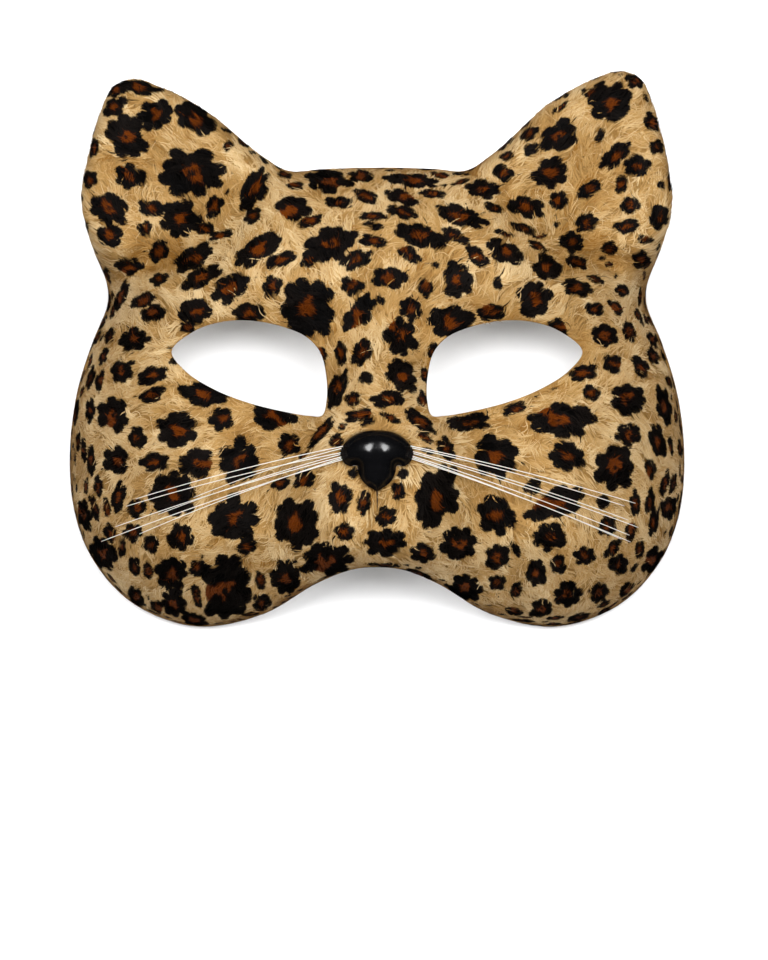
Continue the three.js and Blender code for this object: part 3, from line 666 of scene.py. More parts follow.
# The print
def seen_places(points):
    """Where the camera sees those points, in the plane at the photograph's scale."""
    shrink = 1 - (points[:, 2:] - SCALE_HEIGHT) / CAMERA_DISTANCE
    return CAMERA_PLACE + (points[:, :2] - CAMERA_PLACE) / shrink


class Rosette:
    """Black petals in a ring round a rust centre. One on the front is a pattern in the photograph's
    plane, any other one in the plane of the surface where it lies."""

    def __init__(
        self, centre, normal, across, up, size, source, seen=None, solid=False, limit=math.inf
    ):
        self.centre, self.normal, self.size, self.solid = centre, normal, size, solid
        self.limit = limit
        self.across, self.up, self.seen = across, up, seen
        varied = PETALS["base"] + size * PETALS["per_mm"]
        varied += source.uniform(-PETALS["spread"], PETALS["spread"])
        petals = int(np.clip(round(varied), PETALS["fewest"], PETALS["most"]))
        if solid:
            petals = PETALS["of_solid"]
        turn = PETAL_VARIES["turn"]
        spread = np.arange(petals) + source.uniform(-turn, turn, petals)
        self.angles = 2 * math.pi * (spread / petals + source.random())
        place, reach = (SOLID_PLACE, SOLID_REACH) if solid else (PETAL_PLACE, PETAL_REACH)
        self.places = place * source.uniform(*PETAL_VARIES["place"], petals)
        self.reach = reach * source.uniform(*PETAL_VARIES["reach"], petals)
        self.half = PETAL_PLACE * math.sin(math.pi / petals) * source.uniform(*PETAL_WIDTH, petals)
        self.core = RUST_CORE * source.uniform(*PETAL_VARIES["core"])
        self.shift = source.uniform(-PETAL_VARIES["shift"], PETAL_VARIES["shift"], 2)
        opened = source.random() < OPEN_RINGS["share"] and not solid
        self.gap = source.integers(petals) if opened else None

    def cover(self, points):
        """(black, rust) amounts at those points."""
        offset = points - self.centre
        deep = offset @ self.normal / (ROSETTE_DEPTH * self.size)
        if self.seen is not None:
            offset = seen_places(points) - self.seen
        a, b = offset @ self.across, offset @ self.up
        radius, turn = np.hypot(a, b), np.arctan2(b, a)
        a, b = a - self.shift[0], b - self.shift[1]
        black = np.full(radius.shape, -1.0)
        petals = zip(self.angles, self.places, self.reach, self.half)
        for i, (angle, place, reach, half) in enumerate(petals):
            if i == self.gap:
                continue
            cos, sin = math.cos(angle), math.sin(angle)
            along = np.abs(a * cos + b * sin - place) / reach
            aside = np.abs(b * cos - a * sin) / half
            petal = 1 - (along**PETAL_BLUNT + aside**PETAL_BLUNT) ** (1 / PETAL_BLUNT)
            black = np.maximum(black, petal)
        if self.solid:
            black = np.maximum(black, SOLID_CORE - radius)
        else:
            low, high = PETAL_BODY
            ring = np.minimum(radius - low, high - radius) * RING_SLOPE
            if self.gap is not None:
                away = np.abs(np.angle(np.exp(1j * (turn - self.angles[self.gap]))))
                ring = np.where(away < OPEN_RINGS["half_angle"], -1, ring)
            black = np.maximum(black, np.maximum(ring, (self.core - radius) * RING_SLOPE))
        edge = EDGE_SOFTNESS / self.size
        far = np.linalg.norm(points - self.centre, axis=1) / self.limit
        black = smoothstep(-edge, edge, black - deep**2 - far**8)
        rust = (np.hypot(radius, deep) < RUST_REACH) * (far < 1) * (0.0 if self.solid else 1.0)
        return black, rust


def seen_rosette(x, y, width, height, turn, source, solid=False):
    """A rosette of the front, given as the photograph shows it."""
    seen = np.array([x, y])
    place = seen
    for _ in range(3):
        (centre,), (normal,) = skin.at(place[:1], place[1:])
        place = place + seen - seen_places(centre[None, :])[0]
    angle = math.radians(turn)
    across = np.array([math.cos(angle), math.sin(angle)]) / (PRINT_GROWTH * width / 2)
    up = np.array([-math.sin(angle), math.cos(angle)]) / (PRINT_GROWTH * height / 2)
    upright = max(normal[2], STEEPEST)
    size = math.sqrt(width * height / upright)
    limit = ROSETTE_LIMIT * max(width, height, min(width, height) / upright)
    return Rosette(centre, normal, across, up, size, source, seen=seen, solid=solid, limit=limit)


def scattered_rosettes(placed, source):
    """More rosettes down the steep sides, wherever these still have room."""
    x, y = skin.scatter(SCATTER["tries"], source)
    order = source.permutation(len(x))
    spots, normals = skin.at(x[order], y[order])
    steep = normals[:, 2] < SCATTER["slope"]
    spots, normals = spots[steep], normals[steep]
    centres = [r.centre for r in placed]
    sizes = [r.size / 2 for r in placed]
    found = []
    for spot, normal in zip(spots, normals):
        room = (np.linalg.norm(np.array(centres) - spot, axis=1) - sizes).min() - SCATTER["gap"]
        if room < SCATTER["radius"][0]:
            continue
        radius = min(room, source.uniform(*SCATTER["radius"]))
        helper = unit(np.cross(normal, [0.3, 1, 0.2]))
        angle = source.uniform(0, math.pi)
        across = math.cos(angle) * helper + math.sin(angle) * np.cross(normal, helper)
        stretch = source.uniform(*SCATTER["stretch"])
        up = np.cross(normal, across)
        across, up = across / (radius * stretch), up / (radius / stretch)
        solid = radius < SCATTER["solid_below"]
        found.append(Rosette(spot, normal, across, up, 2 * radius, source, solid=solid))
        centres.append(spot)
        sizes.append(radius)
    return found


def make_print():
    source = np.random.default_rng(SEED + 1)
    placed = [seen_rosette(*spot, source) for group in ROSETTES.values() for spot in group]
    placed += [seen_rosette(*spot, source, solid=True) for spot in SOLID_SPOTS]
    return placed + scattered_rosettes(placed, source)


rosettes = make_print()
dot_x, dot_y = skin.scatter(DOTS["count"], rng)
dots = skin.at(dot_x, dot_y)[0]
dot_radii = rng.uniform(*DOTS["radius"], DOTS["count"])


def print_amounts(points):
    """(black, rust) amounts of the print at points on the surface."""
    black, rust = np.zeros(len(points)), np.zeros(len(points))
    order = np.argsort(points[:, 0])
    ranked = points[order]
    for rosette in rosettes:
        reach = rosette.size * ROSETTE_REACH
        low, high = np.searchsorted(ranked[:, 0], rosette.centre[0] + np.array([-reach, reach]))
        near = order[low:high]
        near = near[(np.abs(points[near] - rosette.centre) < reach).all(axis=1)]
        covered, centre = rosette.cover(points[near])
        black[near] = np.maximum(black[near], covered)
        rust[near] = np.maximum(rust[near], centre)
    for centre, radius in zip(dots, dot_radii):
        low, high = np.searchsorted(ranked[:, 0], centre[0] + np.array([-radius, radius]))
        near = order[low:high]
        distance = np.linalg.norm(points[near] - centre, axis=1)
        dot_black = DOTS["black"] * smoothstep(radius, radius * DOTS["core"], distance)
        black[near] = np.maximum(black[near], dot_black)
    return black, rust


def print_colours(points, lightness):
    """Colours of the print. lightness goes from -1, golden brown, over 0, tan, to 1, cream."""
    black, rust = print_amounts(points)
    light = lightness[:, None]
    ground = np.where(light > 0, mix(TAN, CREAM, clamp01(light)), mix(TAN, GOLD, clamp01(-light)))
    centre = RUST * (1 + RUST_LIGHTER * light)
    ink = BLACK * (1 + BLACK_LIGHTER["by"] * np.maximum(light, BLACK_LIGHTER["least"]))
    colours = mix(ground, centre, rust[:, None])
    return mix(colours, ink, black[:, None])


# Meshes
def mesh_object(name, vertices, faces, smooth=True):
    """An object from vertices in millimetres and a list of face arrays, each of one face size."""
    mesh = bpy.data.meshes.new(name)
    counts = np.concatenate([np.full(len(f), f.shape[1]) for f in faces])
    corners = np.concatenate([f.ravel() for f in faces])
    mesh.vertices.add(len(vertices))
    mesh.vertices.foreach_set("co", (vertices * MM).astype(np.float32).ravel())
    mesh.loops.add(len(corners))
    mesh.loops.foreach_set("vertex_index", corners.astype(np.int32))
    mesh.polygons.add(len(counts))
    starts = np.concatenate([[0], np.cumsum(counts)[:-1]])
    mesh.polygons.foreach_set("loop_start", starts.astype(np.int32))
    mesh.polygons.foreach_set("use_smooth", np.full(len(counts), smooth))
    mesh.update(calc_edges=True)
    obj = bpy.data.objects.new(name, mesh)
    bpy.context.scene.collection.objects.link(obj)
    return obj


def add_colours(mesh, colours):
    layer = mesh.color_attributes.new("print", "FLOAT_COLOR", "POINT")
    rgba = np.ones((len(mesh.vertices), 4), np.float32)
    rgba[:, :3] = clamp01(colours)
    layer.data.foreach_set("color", rgba.ravel())


def vertex_places(mesh):
    places = np.empty(len(mesh.vertices) * 3, np.float32)
    mesh.vertices.foreach_get("co", places)
    return places.reshape(-1, 3).astype(float) / MM


def ring_quads(around, rings, start=0):
    """Faces between rings that face +Z when the rings run clockwise seen from +Z."""
    i, j = np.meshgrid(np.arange(rings), np.arange(around), indexing="ij")
    a = start + i * around + j
    b = start + i * around + (j + 1) % around
    return np.stack([b, a, a + around, b + around], axis=-1).reshape(-1, 4)


def fan(around, ring_start, centre):
    j = np.arange(around)
    corners = [ring_start + (j + 1) % around, ring_start + j, np.full(around, centre)]
    return np.stack(corners, axis=-1)


def closed_body(front, back):
    """Vertices and faces of a body from two sheets of rings with one outline count.

    Each sheet is (rings, around, 3), and its last ring is one place repeated.
    """
    around = front.shape[1]
    sheets, quads, triangles, start = [], [], [], 0
    for sheet, flip in ((front, False), (back, True)):
        rings = sheet.shape[0] - 1
        vertices = np.vstack([sheet[:-1].reshape(-1, 3), sheet[-1:, 0]])
        faces = ring_quads(around, rings - 1, start)
        cap = fan(around, start + (rings - 1) * around, start + rings * around)
        quads.append(faces[:, ::-1] if flip else faces)
        triangles.append(cap[:, ::-1] if flip else cap)
        sheets.append(vertices)
        start += len(vertices)
    j = np.arange(around)
    after = (j + 1) % around
    second = len(sheets[0])
    quads.append(np.stack([j, after, second + after, second + j], axis=-1))
    return np.vstack(sheets), quads, triangles


def prism(outline, low, high, name):
    x, y = outline.T
    if np.sum(x * np.roll(y, -1) - y * np.roll(x, -1)) < 0:
        outline = outline[::-1]
    count = len(outline)
    levels = np.repeat([low, high], count)[:, None]
    vertices = np.hstack([np.vstack([outline, outline]), levels])
    j = np.arange(count)
    after = (j + 1) % count
    sides = np.stack([j, after, after + count, j + count], axis=-1)
    caps = [np.arange(count)[None, ::-1], np.arange(count, 2 * count)[None]]
    return mesh_object(name, vertices, [sides, *caps], smooth=False)


def subtract(obj, cutters):
    for cutter in cutters:
        cut = obj.modifiers.new(cutter.name, "BOOLEAN")
        cut.operation = "DIFFERENCE"
        cut.solver = "MANIFOLD"
        cut.object = cutter
    graph = bpy.context.evaluated_depsgraph_get()
    mesh = bpy.data.meshes.new_from_object(obj.evaluated_get(graph))
    obj.modifiers.clear()
    obj.data = mesh
    for cutter in cutters:
        bpy.data.objects.remove(cutter)


# Materials
class Material:
    """A Principled material and short ways to add nodes to it."""

    def __init__(self, name, **values):
        self.material = bpy.data.materials.new(name)
        self.material.use_nodes = True
        self.tree = self.material.node_tree
        self.shader = self.tree.nodes["Principled BSDF"]
        for socket, value in values.items():
            self.shader.inputs[socket.replace("_", " ")].default_value = value

    def node(self, kind, **values):
        made = self.tree.nodes.new(kind)
        for key, value in values.items():
            if hasattr(made, key):
                setattr(made, key, value)
            else:
                made.inputs[key.replace("_", " ")].default_value = value
        return made

    def link(self, source, target):
        self.tree.links.new(source, target)

    def noise(self, scale, detail=3.0, **values):
        made = self.node("ShaderNodeTexNoise", Scale=scale, Detail=detail, **values)
        coordinates = self.node("ShaderNodeTexCoord")
        self.link(coordinates.outputs["Object"], made.inputs["Vector"])
        return made.outputs["Fac"]

    def span(self, value, low, high, start=0.3, end=0.7):
        """Maps a noise value to a range of another one."""
        made = self.node("ShaderNodeMapRange")
        for socket, number in (
            ("From Min", start), ("From Max", end), ("To Min", low), ("To Max", high)
        ):
            made.inputs[socket].default_value = number
        self.link(value, made.inputs["Value"])
        return made.outputs["Result"]

    def scaled(self, colour, factor):
        made = self.node("ShaderNodeVectorMath", operation="SCALE")
        self.link(colour, made.inputs[0])
        self.link(factor, made.inputs["Scale"])
        return made.outputs["Vector"]

    def mixed(self, first, second, factor):
        made = self.node("ShaderNodeMix", data_type="RGBA")
        made.inputs["A"].default_value = (*first, 1)
        made.inputs[7].default_value = (*second, 1)
        self.link(factor, made.inputs[0])
        return made.outputs[2]

    def bump(self, height, strength, distance):
        made = self.node("ShaderNodeBump", Strength=strength, Distance=distance)
        self.link(height, made.inputs["Height"])
        self.link(made.outputs["Normal"], self.shader.inputs["Normal"])


def mottled_material(name, colours, scale, detail=2, target="Base Color", bump=None, **values):
    """Two colours in the pattern of a noise. bump is another noise's scale, detail, strength and
    height."""
    made = Material(name, **values)
    made.link(made.mixed(*colours, made.noise(scale, detail)), made.shader.inputs[target])
    if bump:
        made.bump(made.noise(*bump[:2]), *bump[2:])
    return made


def printed_material(name, rough):
    """The print's colours from the mesh, on a matt fabric."""
    made = Material(name, Roughness=rough, Specular_IOR_Level=0.06)
    made.print = made.node("ShaderNodeAttribute", attribute_name="print").outputs["Color"]
    roughness = made.span(made.noise(350, 2), rough - 0.08, rough + 0.1)
    made.link(roughness, made.shader.inputs["Roughness"])
    return made


def ground_material():
    made = printed_material("plush_ground", 0.85)
    shade = made.span(made.noise(1500, 3), 0.75, 1.15)
    made.link(made.scaled(made.print, shade), made.shader.inputs["Base Color"])
    return made.material


def pile_material():
    """Each strand looks like a lock of finer fibres that run along it."""
    made = printed_material("plush_pile", 0.6)
    where = made.node("ShaderNodeUVMap", uv_map="fibre")
    stretch = made.node("ShaderNodeMapping")
    stretch.inputs["Scale"].default_value = (0.5, 5, 1)
    made.link(where.outputs["UV"], stretch.inputs["Vector"])
    fibres = made.node("ShaderNodeTexNoise", Scale=1, Detail=2, noise_dimensions="2D")
    made.link(stretch.outputs["Vector"], fibres.inputs["Vector"])
    shade = made.span(fibres.outputs["Fac"], 0.72, 1.28)
    made.link(made.scaled(made.print, shade), made.shader.inputs["Base Color"])
    made.bump(fibres.outputs["Fac"], 0.35, 0.0001)
    return made.material


def lining_material():
    """The shell's plain moulded back, off-white with a faint felt."""
    colours = (0.70, 0.67, 0.62), (0.82, 0.80, 0.76)
    return mottled_material(
        "shell_lining", colours, 60, 4, bump=(1800, 4, 0.5, 0.0002), Roughness=0.75,
        Specular_IOR_Level=0.3,
    ).material


def nose_material():
    """Glossy black plastic with a fine leather grain, duller down its flanks."""
    colours = (0.0016, 0.0016, 0.0018), (0.0035, 0.0035, 0.004)
    made = mottled_material("nose_gloss", colours, 250, 3, Roughness=0.17, Specular_IOR_Level=0.5)
    made.link(made.span(made.noise(500, 4), 0.14, 0.2), made.shader.inputs["Roughness"])
    facing = made.node("ShaderNodeSeparateXYZ")
    made.link(made.node("ShaderNodeNewGeometry").outputs["Normal"], facing.inputs["Vector"])
    gloss = made.span(facing.outputs["Z"], 0.01, 0.6, start=0.45, end=0.9)
    made.link(gloss, made.shader.inputs["Specular IOR Level"])
    cells = made.node("ShaderNodeTexVoronoi", Scale=4500, feature="DISTANCE_TO_EDGE")
    coordinates = made.node("ShaderNodeTexCoord")
    made.link(coordinates.outputs["Object"], cells.inputs["Vector"])
    made.bump(cells.outputs["Distance"], 0.12, 0.00003)
    return made.material


def whisker_material():
    colours = (0.50, 0.48, 0.44), (0.70, 0.68, 0.64)
    made = mottled_material(
        "whisker_nylon", colours, 700, Roughness=0.35, Specular_IOR_Level=0.5,
        Subsurface_Weight=0.15, Subsurface_Scale=0.0006,
    )
    made.link(made.span(made.noise(900, 2), 0.25, 0.5), made.shader.inputs["Roughness"])
    return made.material


def seam_material():
    colours = (0.012, 0.007, 0.004), (0.03, 0.016, 0.008)
    bump = (3000, 2, 0.4, 0.0001)
    return mottled_material("seam_thread", colours, 1500, bump=bump, Roughness=0.8).material


def floor_material():
    colours = (0.86, 0.86, 0.87), (0.89, 0.89, 0.90)
    made = mottled_material("studio_floor", colours, 3, Roughness=0.6, Specular_IOR_Level=0.2)
    return made.material


def backdrop_material():
    return mottled_material(
        "studio_backdrop", ((0.58, 0.58, 0.59), (0.62, 0.62, 0.63)), 0.2, target="Emission Color",
        Roughness=1, Emission_Strength=1,
    ).material


# Pieces
def finish_piece(obj, slot, *nodes):
    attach(obj, "root")
    if nodes:
        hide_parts(*nodes)


def cutters():
    made = [prism(outline, *EYE_CUT, f"eye_cut_{i}") for i, outline in enumerate(eye_edges)]
    angles = -2 * math.pi * np.arange(STRAP_HOLE["steps"]) / STRAP_HOLE["steps"]
    circle = STRAP_HOLE["radius"] * np.column_stack([np.cos(angles), np.sin(angles)])
    for side in (-1, 1):
        hole = prism(circle, -STRAP_HOLE["reach"], STRAP_HOLE["reach"], f"strap_cut_{side}")
        hole.rotation_euler = (0, math.pi / 2, 0)
        out = FACE_HALF_WIDTH - STRAP_HOLE["inset"]
        place = (side * out, STRAP_HOLE["y"], STRAP_HOLE["z"])
        hole.location = Vector(place) * MM
        made.append(hole)
    for obj in made:
        obj.data.update()
    bpy.context.view_layer.update()
    return made


def make_cover(ground, lining):
    """The shell with the plush's ground on its front, as one closed body with its holes."""
    outline = evenly(mask_edge, COVER_STEPS["around"])
    places = ring_places(outline, COVER_STEPS["inward"], Skin.POWER)
    shape = places.shape[:2]
    points, normals = (v.reshape(*shape, 3) for v in skin.at(*places.reshape(-1, 2).T))
    normals[0, :, 2] = 0
    normals[0] = unit(normals[0])
    further_in = smoothstep(0, GROUND_DEPTH["rings"], np.arange(shape[0]))[:, None, None]
    front = points - mix(GROUND_DEPTH["outline"], GROUND_DEPTH["inside"], further_in) * normals
    kept = np.unique(np.linspace(0, COVER_STEPS["inward"], LINING_RINGS + 1).astype(int))
    back = (front - SHELL_THICKNESS * normals)[kept]
    vertices, quads, triangles = closed_body(front, back)
    cover = mesh_object("plush_cover", vertices, [*quads, *triangles])
    cover.data.materials.append(ground)
    cover.data.materials.append(lining)
    in_front = [len(quads[0]), len(quads[1]), len(quads[2]), len(triangles[0]), len(triangles[1])]
    slots = np.repeat([0, 1, 1, 0, 1], in_front)
    cover.data.polygons.foreach_set("material_index", slots.astype(np.int32))
    tools = cutters()
    for tool in tools:
        tool.data.materials.append(ground)
        tool.data.materials.append(lining)
        cut_shows_lining = int(tool.name.startswith("eye"))
        slots = np.full(len(tool.data.polygons), cut_shows_lining, np.int32)
        tool.data.polygons.foreach_set("material_index", slots)
    subtract(cover, tools)
    spots = vertex_places(cover.data)
    varied = GROUND_LIGHTNESS["varies"] * noise(spots[:, 0], spots[:, 1], GROUND_LIGHTNESS["size"])
    colours = print_colours(spots, GROUND_LIGHTNESS["middle"] + varied)
    add_colours(cover.data, GROUND_LIGHTNESS["shade"] * colours)
    finish_piece(cover, "plush", "mask_shell")


class Field:
    """A smooth value over (x, y), kept in a table."""

    def __init__(self, value, low, high, step=0.4):
        self.low, self.step = np.array(low, float), step
        counts = np.ceil((np.array(high) - self.low) / step).astype(int) + 2
        x, y = (self.low[k] + step * np.arange(counts[k]) for k in range(2))
        self.table = value(*np.meshgrid(x, y, indexing="ij"))

    def __call__(self, x, y):
        across = np.clip((x - self.low[0]) / self.step, 0, self.table.shape[0] - 1.001)
        up = np.clip((y - self.low[1]) / self.step, 0, self.table.shape[1] - 1.001)
        i, j = across.astype(int), up.astype(int)
        low = mix(self.table[i, j], self.table[i + 1, j], across - i)
        high = mix(self.table[i, j + 1], self.table[i + 1, j + 1], across - i)
        return mix(low, high, up - j)


def hole_distance(x, y):
    """Positive inside an eye opening or under the nose."""
    eyes = np.maximum(inside_distance(eye_edges[0], x, y), inside_distance(eye_edges[1], x, y))
    return np.maximum(eyes, inside_distance(nose_edge, x, y) - UNDER_NOSE)


in_hole = Field(hole_distance, (-66, -46), (66, 12))
nose_distance = Field(lambda x, y: -inside_distance(nose_edge, x, y), (-16, -48), (16, -18))


def height_over_surroundings(x, y):
    """Positive on ridges and along the outline, negative in the hollows of the ears."""
    reach = RELIEF_SHADE["reach"]
    turns = 2 * math.pi * np.arange(8) / 8
    around = [
        front_height(x + reach * math.cos(turn), y + reach * math.sin(turn)) for turn in turns
    ]
    return front_height(x, y) - np.mean(around, axis=0)


relief = Field(height_over_surroundings, (-96, -88), (96, 90), 1.5)


def bare_depth(points):
    """Positive where no pile lies: in the holes, under the nose and along the parting below it."""
    x, y, z = points.T
    beside = np.hypot(x, y - np.clip(y, *PARTING["up"]))
    from_axis = np.hypot(y - STRAP_HOLE["y"], z - STRAP_HOLE["z"])
    in_strap_hole = np.where(np.abs(x) > SIDE_STARTS, STRAP_HOLE["radius"] - from_axis, -9)
    return np.maximum.reduce([in_hole(x, y), PARTING["half_width"] - beside, in_strap_hole])


def flow_angle(x, y):
    up = y - FLOW["from"]
    reach = np.hypot(x, up) + 1e-6
    across, along = x / reach, up / reach
    start, end, downward = FLOW["down"]
    along = along - downward * smoothstep(start, end, up)
    angle = np.arctan2(along, across)
    eddies = FLOW["eddy"] * noise(x, y, FLOW["eddy_size"])
    return angle + eddies + FLOW["ripple"] * noise(x + 300, y, FLOW["ripple_size"])


def walk(x, y, added, step):
    """Strand places on the surface, their normals and directions, each (steps + 1, strands, 3).

    added is the angle that each strand adds to the pile's flow at each step.
    """
    points, normals, directions = [], [], []
    for turn in added:
        point, normal = skin.at(x, y)
        bearing = flow_angle(x, y) + turn
        sink = np.full(len(x), FLOW["sink"])
        heading = np.column_stack([np.cos(bearing), np.sin(bearing), sink])
        heading[:, 2] *= 1 - normal[:, 2] ** 2
        direction = unit(heading - dot(heading, normal)[:, None] * normal)
        points.append(point)
        normals.append(normal)
        directions.append(direction)
        x = x + direction[:, 0] * step
        y = y + direction[:, 1] * step
    return np.array(points), np.array(normals), np.array(directions)


def strand_lengths(points, step):
    """Shortens strands that would reach over a hole's edge."""
    depth = np.array([bare_depth(p) for p in points])
    start = depth[0]
    limit = -HOLE_MARGIN
    share = np.ones(depth.shape[1])
    for k, later in enumerate(depth[1:], 1):
        over = later > limit
        reach = k / STRAND_STEPS * (limit - start[over]) / (later[over] - start[over])
        share[over] = np.minimum(share[over], reach)
    return step * np.clip(share, 0, 1), start < limit


def strand_width(t):
    """A strand's width along it, as a share of its widest."""
    return 1.4 * np.sqrt(t + 0.2) * (1 - t) ** 0.7


def strand_lift(t):
    return 0.5 * np.sin(np.minimum(t * 1.7, math.pi / 2)) ** 0.8


def strand_places(colours, stray):
    """The steps where each strand's mesh has places: more of them where the print changes.

    Returns pairs of which strands these are for and the places of all strands.
    """
    jumps = np.linalg.norm(np.diff(colours, axis=1), axis=-1).max(axis=0)
    ranked = np.argsort(-jumps, axis=0)[:2]
    sharp = np.take_along_axis(jumps, ranked, axis=0) > PRINT_STEP
    even = np.tile(STRAND_PLACES[:, None], (1, len(stray)))
    pairs = [np.vstack([change + place for place in CHANGE_PLACES]) for change in ranked]
    once = np.where(sharp[0], np.sort(np.vstack([even, pairs[0]]), axis=0), STRAY_PLACES[:, None])
    twice = np.sort(np.vstack([even, *pairs]), axis=0)
    finer = sharp[0] | stray
    return [(~finer, even), (finer & ~sharp[1], once), (sharp[1], twice)]


def along_strand(values, places, sharpness=1):
    """Values at those steps. A sharpness over 1 makes them change midway between two steps."""
    low = np.minimum(places.astype(int), STRAND_STEPS - 1)
    share = clamp01((places - low - 0.5) * sharpness + 0.5)
    first, second = (np.take_along_axis(values, (low + k)[..., None], axis=0) for k in (0, 1))
    return mix(first, second, share[..., None])


def make_strands():
    """All strands of the pile: their places, sides to their edges, normals, colours and roots."""
    source = np.random.default_rng(SEED + 2)
    clumps = CLUMPS
    clump_x, clump_y = skin.scatter(clumps, source)
    _, clump_normal = skin.at(clump_x, clump_y)
    clump = np.repeat(np.arange(clumps), STRANDS_PER_CLUMP)
    count = len(clump)
    offset = source.normal(0, TURNS["clump"], clumps)
    curl = source.normal(0, TURNS["curl"], clumps)
    curl = curl + TURNS["eddy"] * noise(clump_x, clump_y + 500, TURNS["eddy_size"])
    wave = source.normal(0, TURNS["wave"], clumps)
    phase = source.uniform(0, 2 * math.pi, clumps)
    length = source.uniform(*STRAND_LENGTH, clumps)
    lift = source.uniform(*STRAND_VARIES["clump_lift"], clumps)
    light = source.normal(0, LIGHTNESS["clump"], clumps)
    light = light + LIGHTNESS["patch"] * noise(clump_x, clump_y, LIGHTNESS["patch_size"])

    angle = flow_angle(clump_x, clump_y) + offset
    heading = np.column_stack([np.cos(angle), np.sin(angle), np.zeros(clumps)])
    along = unit(heading - dot(heading, clump_normal)[:, None] * clump_normal)
    aside = np.cross(clump_normal, along)
    spread = source.normal(0, CLUMP_SPREAD, (count, 2))
    shift = spread[:, :1] * along[clump] + spread[:, 1:] * aside[clump]
    x = clump_x[clump] + shift[:, 0]
    y = clump_y[clump] + shift[:, 1]
    stray = source.random(count) < STRAYS
    strand_length = length[clump] * source.uniform(*STRAND_VARIES["length"], count)
    strand_length = strand_length * np.where(stray, STRAY["length"], 1)
    t = np.arange(STRAND_STEPS + 1)[:, None] / STRAND_STEPS
    towards_tip = offset[clump] - GATHER * spread[:, 1] / strand_length
    strand_turn = np.where(stray, TURNS["stray"], TURNS["strand"])
    strand_bend = np.where(stray, TURNS["stray"], TURNS["bend"])
    towards_tip = towards_tip + source.normal(0, strand_turn, count)
    bend = curl[clump] + source.normal(0, strand_bend, count)
    added = towards_tip + 2 * bend * t + wave[clump] * np.sin(phase[clump] + 2 * math.pi * t)
    step = strand_length / STRAND_STEPS
    points, _, _ = walk(x, y, added, step)
    step, kept = strand_lengths(points, step)
    kept &= step * STRAND_STEPS > SHORTEST_STRAND
    x, y, added, step, clump, stray = (v[..., kept] for v in (x, y, added, step, clump, stray))
    count = len(x)
    points, normals, directions = walk(x, y, added, step)

    level = unit(np.cross(directions, normals))
    widths = STRAND_HALF_WIDTH * source.uniform(*STRAND_VARIES["width"], count)
    widths = widths * np.where(stray, STRAY["width"], 1)
    half = (strand_width(t) * widths)[..., None]
    root = points[0]
    follow = np.where(source.random(count) < BLENDED["share"], BLENDED["follow"], 1)[:, None]
    dyed = root + follow * (points - root) + source.normal(0, FEATHER, (count, 3))
    brightness = light[clump] + source.normal(0, LIGHTNESS["strand"], count)
    brightness += np.where(stray, LIGHTNESS["stray"], LIGHTNESS["other"])
    # Painted shade and light: strands are darker in hollows and lighter on ridges, by the height
    # over their surroundings
    brightness += np.clip(relief(root[:, 0], root[:, 1]) * RELIEF_SHADE["lighter"], *RELIEF_SHADE["limits"])
    # Painted shade at the root and a painted highlight at the tip
    along_it = mix(LIGHTNESS["root"], LIGHTNESS["tip"], np.sqrt(t))
    shade = np.clip(brightness + along_it, *LIGHTNESS["limits"])
    edges = np.stack([dyed - half * level, dyed + half * level])
    colours = print_colours(edges.reshape(-1, 3), np.tile(shade.ravel(), 2)).reshape(edges.shape)
    # Painted contact shadow: the pile's colours darken towards the nose's edge
    beside_nose = nose_distance(points[..., 0], points[..., 1])
    colours = colours * mix(NOSE_SHADOW_DARKEST, 1, smoothstep(0, NOSE_SHADE, beside_nose))[..., None]

    height = lift[clump] * source.uniform(*STRAND_VARIES["lift"], count) + stray * STRAY["lift"]
    height *= clamp01(step * STRAND_STEPS / STRAND_LENGTH[0])
    on_side = smoothstep(FLATTER_SIDES["from"], FLATTER_SIDES["to"], normals[0][:, 2])
    height *= mix(1, FLATTER_SIDES["lift"], on_side)
    spines = points + (strand_lift(t) * height - STRAND_SINK)[..., None] * normals
    tilt = source.normal(0, STRAND_TILT, count)[:, None]
    sides = np.cos(tilt) * level + np.sin(tilt) * normals
    faces = np.cos(tilt) * normals - np.sin(tilt) * level
    shading = unit(mix(normals, faces, STRAND_FACING))
    apart = np.tile(source.uniform(0, FIBRES_APART, count), (len(t), 1))
    lengths = np.stack([t * step * STRAND_STEPS, apart], -1)
    return {
        "spines": spines, "sides": sides * half, "shading": shading, "left": colours[0],
        "right": colours[1], "lengths": lengths, "root": root,
        "places": strand_places(colours, stray),
    }


def fur_regions(root):
    """Which piece of fur each strand belongs to."""
    x, y = root[:, 0], root[:, 1]
    ear_out, ear_up = FUR_EDGES["ear"]
    slope_from, slope = FUR_EDGES["ear_slope"]
    cheek_out, cheek_up = FUR_EDGES["cheek"]
    ear = (y > ear_up - slope * (np.abs(x) - slope_from)) & (np.abs(x) > ear_out)
    low = y <= cheek_up
    return {
        "fur_ear_left": ear & (x < 0),
        "fur_ear_right": ear & (x > 0),
        "fur_forehead": ~low & ~ear,
        "fur_cheek_left": low & (x < -cheek_out),
        "fur_cheek_right": low & (x > cheek_out),
        "fur_muzzle": low & (np.abs(x) <= cheek_out),
    }


